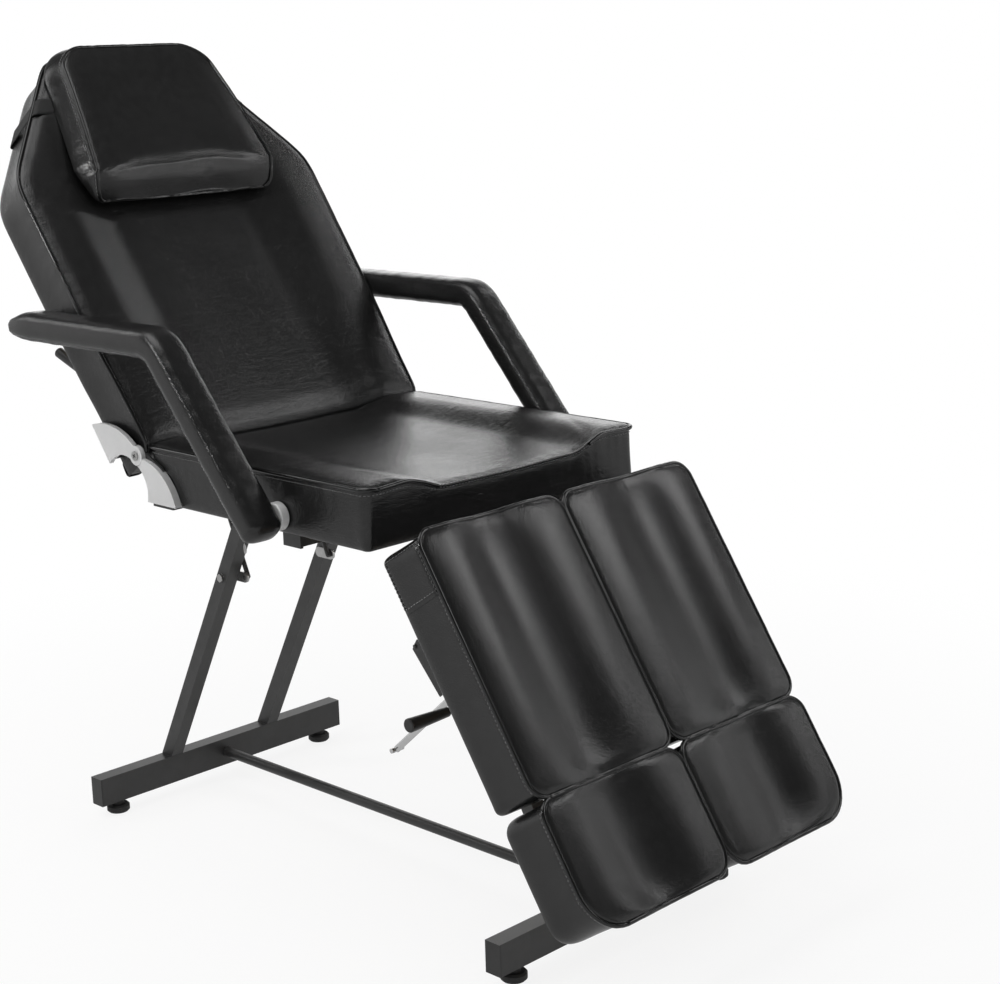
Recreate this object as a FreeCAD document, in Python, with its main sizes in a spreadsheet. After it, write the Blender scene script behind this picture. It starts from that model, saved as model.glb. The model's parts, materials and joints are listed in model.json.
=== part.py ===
"""Treatment chair with a reclining back, tilting arms and two separate leg rests.

Millimetres, +Z up. The sitter faces -Y, so the sitter's right hand is on the -X side.
The origin is on the floor, midway between the two floor bars. The chair is drawn with
its back raised, its arms level and both leg rests hanging down.

Three frames of reference carry the parts that are drawn at an angle. The back frame
starts at the recline pivot, with Y up along the back and Z out of its front. Each leg
frame starts at the leg hinge, with -Y down along the pad and Z out of its top. The lock
frame starts at the lock axle, with Y along the chrome lock rod.
"""
import FreeCAD, Part
import math
import os
import Sketcher
from FreeCAD import Placement, Rotation, Vector

doc = FreeCAD.newDocument("treatment_chair")
sheet = doc.addObject("Spreadsheet::Sheet", "Sizes")

# Driving dimensions, each with its alias, value and meaning.
SIZES = (
    # floor stand
    ("floor_bar_length", 550.0, "floor bar, end to end"),
    ("floor_bar_height", 50.0, "floor bar section, upright side"),
    ("floor_bar_width", 29.0, "floor bar section, flat side"),
    ("floor_bar_wall", 2.0, "floor bar wall"),
    ("floor_bar_spacing", 971.0, "floor bars, centre to centre"),
    ("end_cap_thickness", 3.0, "visible plate of a floor bar end cap"),
    ("end_cap_plug", 14.0, "plug of an end cap inside the tube"),
    ("foot_height", 22.0, "glide foot, floor to floor bar"),
    ("foot_radius", 20.0, "glide foot disc"),
    ("foot_neck_radius", 11.0, "glide foot neck under the bar"),
    ("foot_disc_height", 14.0, "glide foot disc height"),
    ("foot_inset", 42.0, "bar end to glide foot centre"),
    ("foot_edge_chamfer", 3.0, "bevel round the glide foot disc"),
    ("leg_width", 25.0, "square leg tube"),
    ("leg_wall", 1.6, "leg tube wall"),
    ("leg_spacing", 220.0, "leg tubes, centre to centre across"),
    ("leg_top_spacing", 426.0, "front to rear leg tops, centre to centre"),
    ("stretcher_radius", 9.0, "stretcher tube"),
    ("stretcher_wall", 1.5, "stretcher tube wall"),
    ("bolt_radius", 4.0, "M8 bolt shank"),
    ("bolt_head_radius", 7.5, "bolt head across its corners"),
    ("bolt_head_height", 5.0, "bolt head"),
    ("bolt_length", 30.0, "stretcher bolt shank"),
    # seat
    ("seat_height", 609.0, "floor to the underside of the seat upholstery"),
    ("seat_width", 582.0, "seat across the piping"),
    ("seat_length", 517.0, "seat, front to rear"),
    ("seat_rear", 240.0, "rear end of the seat, behind the origin"),
    ("pad_thickness", 90.0, "upholstered pad, underside to piping"),
    ("board_thickness", 12.0, "plywood base board"),
    ("board_margin", 7.0, "upholstery turned round the board's edge"),
    ("rail_size", 25.0, "square seat rail tube"),
    ("rail_wall", 1.6, "seat rail wall"),
    ("rail_lug_thickness", 3.0, "lug plate each side of a leg top"),
    ("rail_lug_drop", 42.0, "lug plate below the rail"),
    ("rail_lug_width", 44.0, "lug plate along the rail"),
    ("cross_rail_setback", 60.0, "cross rails inside the leg tops"),
    ("crest_height", 8.0, "side roll above the piping"),
    ("seat_dish_depth", 21.0, "hollow of the seat between its side rolls"),
    ("back_dish_depth", 14.0, "hollow of the back between its side rolls"),
    ("leg_dish_depth", 9.0, "hollow along a leg pad or foot pad"),
    ("side_draw_in", 5.0, "pull of the side walls between their edges"),
    ("seat_corner_radius", 14.0, "seat corners in plan"),
    # hinge between seat and back
    ("pivot_y", 256.0, "recline pivot behind the origin"),
    ("pivot_rise", 75.0, "recline pivot above the seat's underside"),
    ("hinge_plate_thickness", 4.0, "steel hinge plate"),
    ("hinge_plate_gap", 0.6, "gap beside each hinge plate"),
    ("hinge_boss_radius", 13.0, "eye of a hinge plate"),
    ("hinge_flange_width", 46.0, "foot of a hinge plate under the board"),
    ("hinge_bolt_radius", 5.0, "recline pivot bolt"),
    ("hinge_bolt_head_radius", 7.5, "recline bolt head"),
    ("cover_boss_radius", 16.0, "round end of the back's hinge cover"),
    ("cover_reach", 98.0, "hinge cover, pivot to its outer corner"),
    ("cover_inner_reach", 25.0, "hinge cover, pivot to its inner corner"),
    ("cover_depth", 72.0, "hinge cover, pivot to its end"),
    ("cover_wall", 2.0, "hinge cover shell"),
    # back
    ("back_raise_angle", 54.0, "back above the horizontal as drawn"),
    ("back_front", 26.0, "front of the back ahead of the pivot line"),
    ("back_start", 7.0, "lower edge of the back above the pivot"),
    ("back_length", 728.0, "back, lower edge to head end"),
    ("back_waist_spread", 10.0, "back wider than the seat at a third of its length, a side"),
    ("back_shoulder_spread", 15.0, "back wider than the seat at the shoulders, a side"),
    ("back_neck_width", 444.0, "back across the neck slope"),
    ("back_head_width", 336.0, "back across the head end"),
    ("back_roll", 16.0, "bulge of the hinged end past the pivot"),
    ("head_corner_radius", 46.0, "corners of the head end"),
    ("pillow_head_inset", 7.0, "pillow short of the back's head end"),
    ("pillow_length", 284.0, "pillow, lower edge to head end"),
    ("pillow_facet", 38.0, "sloping lower front of the pillow"),
    ("pillow_low_width", 410.0, "pillow across its lower edge"),
    ("pillow_top_width", 356.0, "pillow across the top of its slope"),
    ("pillow_head_width", 296.0, "pillow across its head end"),
    ("pillow_thickness", 46.0, "pillow above the back"),
    ("pillow_seat_gap", 1.0, "pillow underside above the back's rolls"),
    ("strap_width", 30.0, "elastic strap round the back"),
    ("strap_thickness", 2.0, "elastic strap"),
    ("strap_head_inset", 95.0, "strap centre below the back's head end"),
    ("strap_slack", 0.5, "room between the strap and what it goes round"),
    # prop and its rack
    ("prop_pivot_drop", 172.0, "prop pivot below the seat's underside"),
    ("prop_pivot_ahead", 30.0, "prop pivot ahead of the rear leg"),
    ("prop_rod_radius", 4.0, "prop rod"),
    ("prop_bar_place", 94.0, "prop bar up the back, as drawn"),
    ("prop_bar_gap", 0.6, "prop bar clear of the rack teeth"),
    ("prop_bend_radius", 16.0, "bends of the prop rod"),
    ("rack_spacing", 150.0, "rack bars, centre to centre"),
    ("rack_thickness", 6.0, "rack bar across"),
    ("rack_start", 66.0, "rack from the pivot"),
    ("rack_length", 200.0, "rack along the back"),
    ("rack_body", 9.0, "rack bar behind the board, to the tooth roots"),
    ("rack_tooth", 5.0, "rack tooth height"),
    ("release_place", 176.0, "release shaft from the pivot"),
    ("release_shaft_radius", 3.0, "release shaft"),
    ("release_arm_length", 34.0, "release lever arm"),
    ("release_grip_length", 78.0, "release lever grip"),
    ("release_grip_radius", 9.0, "release lever grip"),
    ("release_grip_angle", 32.0, "release lever below the back"),
    # arms
    ("arm_pivot_y", -86.0, "arm pivot from the origin"),
    ("arm_pivot_rise", 27.0, "arm pivot above the seat's underside"),
    ("arm_width", 60.0, "arm pad across"),
    ("arm_thickness", 46.0, "arm pad from front to back of its tube"),
    ("arm_run", 210.0, "pivot to arm bend, along the chair"),
    ("arm_rise", 245.0, "pivot to arm bend, upwards"),
    ("arm_rest_length", 388.0, "bend to rear tip"),
    ("arm_bend_radius", 52.0, "arm bend on its centre line"),
    ("arm_foot", 31.0, "arm pad below its pivot"),
    ("arm_corner_radius", 19.0, "rounding of the arm pad's section"),
    ("arm_tube_radius", 11.0, "steel tube in the arm"),
    ("arm_tube_wall", 2.0, "arm tube wall"),
    ("arm_shaft_radius", 10.0, "arm pivot shaft"),
    ("bush_radius", 22.0, "silver arm bush"),
    ("bush_length", 16.0, "silver arm bush along the shaft"),
    ("bush_edge_round", 3.0, "rounding of the bush"),
    ("arm_post_width", 40.0, "post that carries the arm shaft"),
    ("arm_post_thickness", 5.0, "post plate"),
    ("arm_post_inset", 18.0, "post inside the seat's side"),
    # leg rests
    ("leg_hinge_ahead", 13.0, "leg hinge ahead of the seat's front"),
    ("leg_hinge_drop", 5.0, "leg hinge below the seat's underside"),
    ("leg_drop_angle", 56.85, "leg rest below the horizontal as drawn"),
    ("leg_pad_start", 5.0, "pad end from the leg hinge"),
    ("leg_pad_length", 397.0, "upper leg pad"),
    ("leg_pad_gap", 6.0, "gap between the two leg rests"),
    ("leg_pad_lift", 8.0, "pad underside above the hinge line"),
    ("leg_corner_radius", 12.0, "leg pad corners in plan"),
    ("foot_pad_gap", 11.0, "gap between leg pad and foot pad"),
    ("foot_pad_length", 188.0, "foot pad"),
    ("foot_outer_radius", 46.0, "outer toe corner of the foot pad"),
    ("hinge_pin_radius", 5.0, "leg hinge pin"),
    ("hinge_eye_radius", 9.0, "leg hinge eye"),
    ("hinge_ear_thickness", 4.0, "ear each side of the leg hinge eye"),
    ("leg_strap_thickness", 6.0, "steel strap under the leg board"),
    ("leg_strap_length", 214.0, "steel strap along the leg board"),
    ("slide_rod_radius", 5.0, "chrome foot rest rod"),
    ("slide_rod_spacing", 92.0, "foot rest rods, centre to centre"),
    ("slide_tube_wall", 2.6, "guide tube round a foot rest rod"),
    ("slide_tube_length", 190.0, "guide tube in the leg pad"),
    ("slide_rod_hold", 150.0, "rod held inside its guide tube"),
    ("slide_rod_grip", 120.0, "rod fixed inside the foot pad"),
    ("running_gap", 0.2, "radial room of a sliding or turning fit"),
    # locks of the leg rests
    ("lock_axle_height", 427.0, "lock axle above the floor"),
    ("lock_axle_radius", 5.0, "lock axle"),
    ("lock_rod_radius", 5.5, "chrome lock rod"),
    ("lock_rod_length", 352.0, "lock rod, eye to lower pin"),
    ("lock_rod_offset", 43.0, "lock rod beside its axle"),
    ("lock_eye_reach", 177.0, "rod eye along the pad from the leg hinge"),
    ("lock_eye_lift", 34.0, "rod eye above the leg hinge line"),
    ("lock_eye_radius", 14.0, "rod eye"),
    ("lock_eye_bore", 10.4, "hole of the rod eye, wide for the open pivot"),
    ("lock_eye_thickness", 6.0, "rod eye"),
    ("clevis_pin_radius", 3.0, "pin through the rod eye"),
    ("clevis_width", 26.0, "clevis across its ears"),
    ("clevis_ear_thickness", 4.0, "clevis ear"),
    ("lock_plate_thickness", 2.5, "cheek of the lock bracket"),
    ("lock_inner_width", 24.0, "room between the cheeks"),
    ("lock_leg_gap", 2.0, "cheek clear of the leg tube"),
    ("lock_base", 59.0, "axle to the lock plate, down the rod"),
    ("lock_rear_reach", 51.0, "axle to the lock plate's pivot bolt"),
    ("lock_lever_reach", 62.0, "axle to the lever rod"),
    ("lock_lever_radius", 4.0, "lever rod"),
    ("lock_lever_length", 104.0, "lever rod from the lock plate"),
    ("lock_grip_length", 82.0, "black grip"),
    ("lock_grip_radius", 11.0, "black grip at its outer end"),
    ("lock_grip_neck_radius", 7.5, "black grip at its inner end"),
    ("lock_bolt_radius", 3.0, "lock plate pivot bolt"),
    ("end_pin_radius", 4.0, "cross pin at the rod's lower end"),
    ("end_pin_length", 24.0, "cross pin at the rod's lower end"),
    ("seat_gap", 0.4, "room between parts that lie against each other"),
    ("cut_overrun", 5.0, "how far a cutting shape passes a face"),
)
for row, (alias, value, meaning) in enumerate(SIZES, start=1):
    sheet.set(f"A{row}", alias)
    sheet.set(f"B{row}", str(value))
    sheet.set(f"C{row}", meaning)
    sheet.setAlias(f"B{row}", alias)
doc.recompute()


def size(alias):
    """A driving dimension as a number."""
    return float(sheet.get(alias))


nodes = []
X_AXIS = Vector(1, 0, 0)
Y_AXIS = Vector(0, 1, 0)
Z_AXIS = Vector(0, 0, 1)
QUARTER_TURN = 90.0
FULL_TURN = 360.0
HEXAGON = 6
SIDES = (("right", -1), ("left", 1))


# Helpers
def keep(shape_object, label):
    """Marks a finished sub-part under the name it is written with."""
    shape_object.Label = label
    nodes.append(shape_object)
    return shape_object


def feature(label, shape, placement=Placement()):
    """A sub-part whose shape is worked out in this file."""
    made = doc.addObject("Part::Feature", label)
    made.Shape = shape
    made.Placement = placement
    return keep(made, label)


def bind(made, **formulas):
    """Ties properties of an object to formulas over the sheet's aliases."""
    for name, formula in formulas.items():
        made.setExpression(name, formula)


def origin_plane(body, role):
    return next(plane for plane in body.Origin.OriginFeatures if plane.Role == role)


def add_rectangle(sketch, width, height, name):
    """A rectangle centred on the sketch's origin, with both sides tied to formulas."""
    first = sketch.GeometryCount
    corners = [Vector(-1, -1, 0), Vector(1, -1, 0), Vector(1, 1, 0), Vector(-1, 1, 0)]
    for here, there in zip(corners, corners[1:] + corners[:1]):
        sketch.addGeometry(Part.LineSegment(here, there), False)
    for step in range(4):
        follower = first + (step + 1) % 4
        sketch.addConstraint(Sketcher.Constraint("Coincident", first + step, 2, follower, 1))
    for step, kind in enumerate(("Horizontal", "Vertical", "Horizontal", "Vertical")):
        sketch.addConstraint(Sketcher.Constraint(kind, first + step))
    sketch.addConstraint(Sketcher.Constraint("Symmetric", first, 1, first + 2, 1, -1, 1))
    for step, formula, side in ((0, width, "width"), (1, height, "height")):
        index = sketch.addConstraint(Sketcher.Constraint("Distance", first + step, 2.0))
        sketch.renameConstraint(index, f"{name}_{side}")
        sketch.setExpression(f"Constraints.{name}_{side}", formula)


def new_sketch(body, role, name):
    sketch = body.newObject("Sketcher::SketchObject", name)
    sketch.AttachmentSupport = [(origin_plane(body, role), "")]
    sketch.MapMode = "FlatFace"
    return sketch


def box_tube(label, width, height, wall, length):
    """A rectangular tube along its body's Z, centred on it, open at both ends."""
    body = doc.addObject("PartDesign::Body", label)
    sketch = new_sketch(body, "XY_Plane", f"{label}_section")
    add_rectangle(sketch, width, height, "outer")
    add_rectangle(sketch, f"{width} - 2 * ({wall})", f"{height} - 2 * ({wall})", "inner")
    pad = body.newObject("PartDesign::Pad", f"{label}_pad")
    pad.Profile = sketch
    pad.Midplane = True
    bind(pad, Length=length)
    return body


def flat_board(label, width, length, thickness):
    """A rectangular board centred on its body's Z axis, rising from its XY plane."""
    body = doc.addObject("PartDesign::Body", label)
    sketch = new_sketch(body, "XY_Plane", f"{label}_outline")
    add_rectangle(sketch, width, length, "edge")
    pad = body.newObject("PartDesign::Pad", f"{label}_pad")
    pad.Profile = sketch
    bind(pad, Length=thickness)
    return body


def cross_bore(body, role, radius, across="0", along="0"):
    """A round hole right through a body, square to one of its origin planes."""
    sketch = new_sketch(body, role, f"{body.Name}_bore_{role}")
    sketch.addGeometry(Part.Circle(Vector(1, 1, 0), Z_AXIS, 1.0), False)
    ties = (
        ("DistanceX", (-1, 1, 0, 3, 1.0), across, "across"),
        ("DistanceY", (-1, 1, 0, 3, 1.0), along, "along"),
        ("Radius", (0, 1.0), radius, "radius"),
    )
    for kind, geometry, formula, name in ties:
        index = sketch.addConstraint(Sketcher.Constraint(kind, *geometry))
        sketch.renameConstraint(index, name)
        sketch.setExpression(f"Constraints.{name}", formula)
    pocket = body.newObject("PartDesign::Pocket", f"{body.Name}_hole_{role}")
    pocket.Profile = sketch
    pocket.Type = "ThroughAll"
    pocket.Midplane = True
    return pocket


def turned(x, y, z, axis=X_AXIS, angle=0.0):
    return Placement(Vector(x, y, z), Rotation(axis, angle))


def x_rod(radius, x_from, x_to, y=0.0, z=0.0):
    """A solid rod along X."""
    low, high = sorted((x_from, x_to))
    return Part.makeCylinder(radius, high - low, Vector(low, y, z), X_AXIS)


def y_rod(radius, y_from, y_to, x=0.0, z=0.0):
    """A solid rod along Y."""
    low, high = sorted((y_from, y_to))
    return Part.makeCylinder(radius, high - low, Vector(x, low, z), Y_AXIS)


def block(x_pair, y_pair, z_pair):
    """A block between two values on each axis, given in any order."""
    (xa, xb), (ya, yb), (za, zb) = (sorted(pair) for pair in (x_pair, y_pair, z_pair))
    return Part.makeBox(xb - xa, yb - ya, zb - za, Vector(xa, ya, za))


def x_prism(edges, x_from, x_to):
    """Pushes a closed outline that lies in the YZ plane along X."""
    low, high = sorted((x_from, x_to))
    face = Part.Face(Part.Wire(edges))
    face.translate(Vector(low, 0, 0))
    return face.extrude(Vector(high - low, 0, 0))


def polygon(points):
    """Straight edges round a list of (y, z) points."""
    corners = [Vector(0, y, z) for y, z in points]
    pairs = zip(corners, corners[1:] + corners[:1])
    return [Part.makeLine(here, there) for here, there in pairs]


def arc(start, through, end):
    return Part.Arc(Vector(*start), Vector(*through), Vector(*end)).toShape()


def bent_path(points, radius):
    """Straight runs joined by tangent arcs, for a bent rod or tube."""
    edges = []
    start = points[0]
    for before, corner, after in zip(points, points[1:], points[2:]):
        back = (before - corner).normalize()
        ahead = (after - corner).normalize()
        half = back.getAngle(ahead) / 2
        reach = radius / math.tan(half)
        middle = (back + ahead).normalize()
        centre = corner + middle * (radius / math.sin(half))
        enter, leave = corner + back * reach, corner + ahead * reach
        edges.append(Part.makeLine(start, enter))
        edges.append(Part.Arc(enter, centre - middle * radius, leave).toShape())
        start = leave
    edges.append(Part.makeLine(start, points[-1]))
    return Part.Wire(edges)


def pipe(path, radius):
    """A round bar along a path."""
    first = path.Edges[0]
    start = first.valueAt(first.FirstParameter)
    direction = first.tangentAt(first.FirstParameter)
    ring = Part.Wire(Part.makeCircle(radius, start, direction))
    return path.makePipeShell([ring], True, False)


# Places worked out from the driving dimensions
bar_half_spacing = size("floor_bar_spacing") / 2
bar_top = size("foot_height") + size("floor_bar_height")
rail_low = size("seat_height") - size("rail_size")
leg_rise = rail_low - bar_top
leg_shift = bar_half_spacing - size("leg_top_spacing") / 2
leg_lean = math.degrees(math.atan2(leg_shift, leg_rise))
leg_half_spacing = size("leg_spacing") / 2
leg_face = leg_half_spacing + size("leg_width") / 2
seat_half = size("seat_width") / 2
seat_front = size("seat_rear") - size("seat_length")
board_top = size("seat_height") + size("board_thickness")
seat_top = size("seat_height") + size("pad_thickness")
pivot_height = size("seat_height") + size("pivot_rise")
arm_pivot_height = size("seat_height") + size("arm_pivot_rise")
leg_hinge_height = size("seat_height") - size("leg_hinge_drop")
prop_pivot_height = size("seat_height") - size("prop_pivot_drop")
waist_half = seat_half + size("back_waist_spread")
shoulder_half = seat_half + size("back_shoulder_spread")
back_behind = size("back_front") - size("pad_thickness")
back_end = size("back_start") + size("back_length")
pad_centre = (seat_half + size("leg_pad_gap") / 2) / 2
back_frame = turned(0, size("pivot_y"), pivot_height, X_AXIS, size("back_raise_angle"))
leg_hinge = Vector(0, seat_front - size("leg_hinge_ahead"), leg_hinge_height)
leg_frame = Placement(leg_hinge, Rotation(X_AXIS, size("leg_drop_angle")))


def leg_line(height):
    """How far from the middle a leg's centre line is at a height."""
    return bar_half_spacing - leg_shift * (height - bar_top) / leg_rise


# Floor stand
def floor_bar(label, y):
    """A rectangular tube across the floor with a bolt hole for the stretcher."""
    body = box_tube(label, "Sizes.floor_bar_height", "Sizes.floor_bar_width",
                    "Sizes.floor_bar_wall",
                    "Sizes.floor_bar_length - 2 * Sizes.end_cap_thickness")
    cross_bore(body, "XZ_Plane", "Sizes.bolt_radius")
    centre_height = size("foot_height") + size("floor_bar_height") / 2
    body.Placement = turned(0, y, centre_height, Y_AXIS, QUARTER_TURN)
    return keep(body, label)


def end_caps():
    """Four plastic caps, each a plate with a plug that fills the end of its bar."""
    caps = []
    half_length = size("floor_bar_length") / 2
    half_width = size("floor_bar_width") / 2
    wall = size("floor_bar_wall")
    for y in (-bar_half_spacing, bar_half_spacing):
        for sign in (-1, 1):
            outer = sign * half_length
            inner = outer - sign * size("end_cap_thickness")
            plate = block((outer, inner), (y - half_width, y + half_width),
                          (size("foot_height"), bar_top))
            plug = block((inner, inner - sign * size("end_cap_plug")),
                         (y - half_width + wall, y + half_width - wall),
                         (size("foot_height") + wall, bar_top - wall))
            caps.append(plate.fuse(plug))
    return feature("floor_bar_end_caps", Part.makeCompound(caps))


def glide_feet():
    """Four screw-in glide feet: a bevelled disc and a neck under the bar."""
    feet = []
    bevel = size("foot_edge_chamfer")
    radius = size("foot_radius")
    disc_top = size("foot_disc_height")
    outline = [(0, 0), (radius - bevel, 0), (radius, bevel), (radius, disc_top - bevel),
               (radius - bevel, disc_top), (size("foot_neck_radius"), disc_top),
               (size("foot_neck_radius"), size("foot_height")), (0, size("foot_height"))]
    for y in (-bar_half_spacing, bar_half_spacing):
        for sign in (-1, 1):
            x = sign * (size("floor_bar_length") / 2 - size("foot_inset"))
            foot = Part.Face(Part.Wire(polygon(outline))).revolve(Vector(), Z_AXIS, FULL_TURN)
            foot.translate(Vector(x, y, 0))
            feet.append(foot)
    return feature("glide_feet", Part.makeCompound(feet))


def leg_tube(label, x, end):
    """A square tube that leans from its floor bar up to the seat rail.

    Both ends are mitred level, so the tube is drawn long and trimmed by two planes.
    """
    lean = math.radians(leg_lean)
    length = leg_rise / math.cos(lean)
    spare = size("leg_width") * math.tan(lean) + size("cut_overrun")
    half = size("leg_width") / 2
    bore = half - size("leg_wall")
    tube = block((-half, half), (-half, half), (-spare, length + spare))
    tube = tube.cut(block((-bore, bore), (-bore, bore), (-2 * spare, length + 2 * spare)))
    tube.Placement = turned(x, end * bar_half_spacing, bar_top, X_AXIS, end * leg_lean)
    wide = size("leg_top_spacing") + size("floor_bar_spacing")
    band = block((x - wide, x + wide), (-wide, wide), (bar_top, rail_low - size("seat_gap")))
    tube = tube.common(band)
    holes = [x_rod(size("bolt_radius"), x - wide, x + wide,
                   end * leg_line(rail_low - size("rail_lug_drop") / 2),
                   rail_low - size("rail_lug_drop") / 2)]
    if end < 0:
        holes.append(x_rod(size("lock_axle_radius"), x - wide, x + wide,
                           -leg_line(size("lock_axle_height")), size("lock_axle_height")))
    else:
        holes.append(x_rod(size("bolt_radius"), x - wide, x + wide,
                           leg_line(prop_pivot_height), prop_pivot_height))
    return feature(label, tube.cut(holes))


def stretcher():
    """The long round tube that ties the two floor bars together."""
    length = size("floor_bar_spacing") - size("floor_bar_width")
    tube = doc.addObject("Part::Cylinder", "stretcher_outer")
    bore = doc.addObject("Part::Cylinder", "stretcher_bore")
    bind(tube, Radius="Sizes.stretcher_radius",
         Height="Sizes.floor_bar_spacing - Sizes.floor_bar_width")
    bind(bore, Radius="Sizes.stretcher_radius - Sizes.stretcher_wall",
         Height="Sizes.floor_bar_spacing - Sizes.floor_bar_width")
    cut = doc.addObject("Part::Cut", "stretcher_tube")
    cut.Base, cut.Tool = tube, bore
    centre_height = size("foot_height") + size("floor_bar_height") / 2
    cut.Placement = turned(0, length / 2, centre_height, X_AXIS, QUARTER_TURN)
    return keep(cut, "stretcher_tube")


def hex_head(centre, direction):
    """A six-sided bolt head that starts at a point and stands out along a direction."""
    corner = Vector(size("bolt_head_radius"), 0, 0)
    ring = [Rotation(Z_AXIS, FULL_TURN * step / HEXAGON).multVec(corner)
            for step in range(HEXAGON)]
    face = Part.Face(Part.makePolygon(ring + ring[:1]))
    head = face.extrude(Vector(0, 0, size("bolt_head_height")))
    head.Placement = Placement(centre, Rotation(Z_AXIS, direction))
    return head


def stand_bolts():
    """The bolts of the stand: two for the stretcher, four at the leg tops, two for the
    prop. Each has a hexagon head outside and, at the legs, a nut inside."""
    bolts = []
    bar_middle = size("foot_height") + size("floor_bar_height") / 2
    for end in (-1, 1):
        outside = end * (bar_half_spacing + size("floor_bar_width") / 2)
        shank = y_rod(size("bolt_radius"), outside, outside - end * size("bolt_length"),
                      0, bar_middle)
        head = hex_head(Vector(0, outside, bar_middle), Vector(0, end, 0))
        bolts.append(shank.fuse(head))
    lug_face = leg_face + size("rail_lug_thickness")
    lug_inner = leg_half_spacing * 2 - lug_face
    bolt_height = rail_low - size("rail_lug_drop") / 2
    for end in (-1, 1):
        for sign in (-1, 1):
            y = end * leg_line(bolt_height)
            shank = x_rod(size("bolt_radius"), sign * lug_face, sign * lug_inner, y, bolt_height)
            head = hex_head(Vector(sign * lug_face, y, bolt_height), Vector(sign, 0, 0))
            nut = hex_head(Vector(sign * lug_inner, y, bolt_height), Vector(-sign, 0, 0))
            bolts.append(shank.fuse([head, nut]))
    y = leg_line(prop_pivot_height)
    for sign in (-1, 1):
        inner = leg_half_spacing * 2 - leg_face
        plate = prop_tab_plate(sign, inner)
        tip = inner - size("hinge_ear_thickness")
        shank = x_rod(size("bolt_radius"), sign * leg_face, sign * tip, y,
                      prop_pivot_height)
        head = hex_head(Vector(sign * leg_face, y, prop_pivot_height),
                        Vector(sign, 0, 0))
        bolts.append(plate.fuse([shank, head]))
    return feature("stand_bolts", Part.makeCompound(bolts))


def prop_tab_plate(sign, inner):
    """The small plate on a rear leg's inner face that holds the prop's pivot."""
    y = leg_line(prop_pivot_height)
    tip_y = y - size("prop_pivot_ahead")
    height = prop_pivot_height
    half = size("hinge_eye_radius")
    outer = inner - size("hinge_ear_thickness")
    plate = block((sign * inner, sign * outer), (y, tip_y), (height - half, height + half))
    ends = [x_rod(half, sign * inner, sign * outer, place, height) for place in (y, tip_y)]
    bore = x_rod(size("prop_rod_radius") + size("running_gap"),
                 sign * (inner + size("cut_overrun")), sign * (outer - size("cut_overrun")),
                 tip_y, height)
    return plate.fuse(ends).cut(bore)


def lock_axle():
    """The rod through both front legs that the two lock brackets swing on."""
    reach = (leg_face + size("lock_leg_gap") + size("lock_inner_width")
             + 2 * size("lock_plate_thickness") + 2 * size("seat_gap"))
    y = -leg_line(size("lock_axle_height"))
    rod = x_rod(size("lock_axle_radius"), -reach, reach, y, size("lock_axle_height"))
    heads = [hex_head(Vector(sign * reach, y, size("lock_axle_height")), Vector(sign, 0, 0))
             for sign in (-1, 1)]
    return feature("lock_axle", rod.fuse(heads))


# Seat
def seat_rail(name, sign):
    """A welded side rail: the tube along the chair, the lugs that hold both legs, the
    outrigger and post that carry the arm, and the ears of the leg hinge."""
    half = size("rail_size") / 2
    wall = size("rail_wall")
    x = sign * leg_half_spacing
    front = seat_front + size("rail_size")
    rear = size("seat_rear") - size("rail_size")
    low, high = rail_low, size("seat_height")
    tube = block((x - half, x + half), (front, rear), (low, high))
    bore = block((x - half + wall, x + half - wall),
                 (front - size("cut_overrun"), rear + size("cut_overrun")),
                 (low + wall, high - wall))
    rail = tube.cut(bore)
    parts = []
    lug = size("rail_lug_thickness")
    for end in (-1, 1):
        y = end * leg_line(rail_low - size("rail_lug_drop") / 2)
        for side in (-1, 1):
            near = x + side * half
            plate = block((near, near + side * lug),
                          (y - size("rail_lug_width") / 2, y + size("rail_lug_width") / 2),
                          (low - size("rail_lug_drop"), high))
            hole = x_rod(size("bolt_radius"), near - side * lug, near + 2 * side * lug, y,
                         rail_low - size("rail_lug_drop") / 2)
            parts.append(plate.cut(hole))
    post_x = sign * (seat_half - size("arm_post_inset"))
    arm_y = size("arm_pivot_y")
    outrigger = block((sign * (leg_half_spacing + half), post_x),
                      (arm_y - half, arm_y + half), (low, high))
    outrigger = outrigger.cut(
        block((sign * leg_half_spacing, post_x - sign * size("arm_post_thickness")),
              (arm_y - half + wall, arm_y + half - wall), (low + wall, high - wall)))
    parts.append(outrigger)
    post_half = size("arm_post_width") / 2
    post = block((post_x, post_x - sign * size("arm_post_thickness")),
                 (arm_y - post_half, arm_y + post_half), (low, arm_pivot_height))
    crown = x_rod(post_half, post_x, post_x - sign * size("arm_post_thickness"),
                  arm_y, arm_pivot_height)
    eye = x_rod(size("arm_shaft_radius") + size("running_gap"),
                post_x + sign * size("cut_overrun"), post_x - sign * 2 * size("rail_size"),
                arm_y, arm_pivot_height)
    parts.append(post.fuse(crown).cut(eye))
    for side in (-1, 1):
        near = x + side * (half - size("hinge_ear_thickness"))
        far = x + side * half
        eye_y, eye_z = leg_hinge.y, leg_hinge.z
        ear = block((near, far), (front, eye_y), (eye_z - size("hinge_eye_radius"),
                                                  min(eye_z, high)))
        tip = x_rod(size("hinge_eye_radius"), near, far, eye_y, eye_z)
        ear = ear.fuse(tip)
        spare = size("cut_overrun")
        ear = ear.cut(x_rod(size("hinge_pin_radius"), near - side * spare,
                            far + side * spare, eye_y, eye_z))
        parts.append(ear)
    return feature(f"seat_rail_{name}", rail.fuse(parts))


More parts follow.
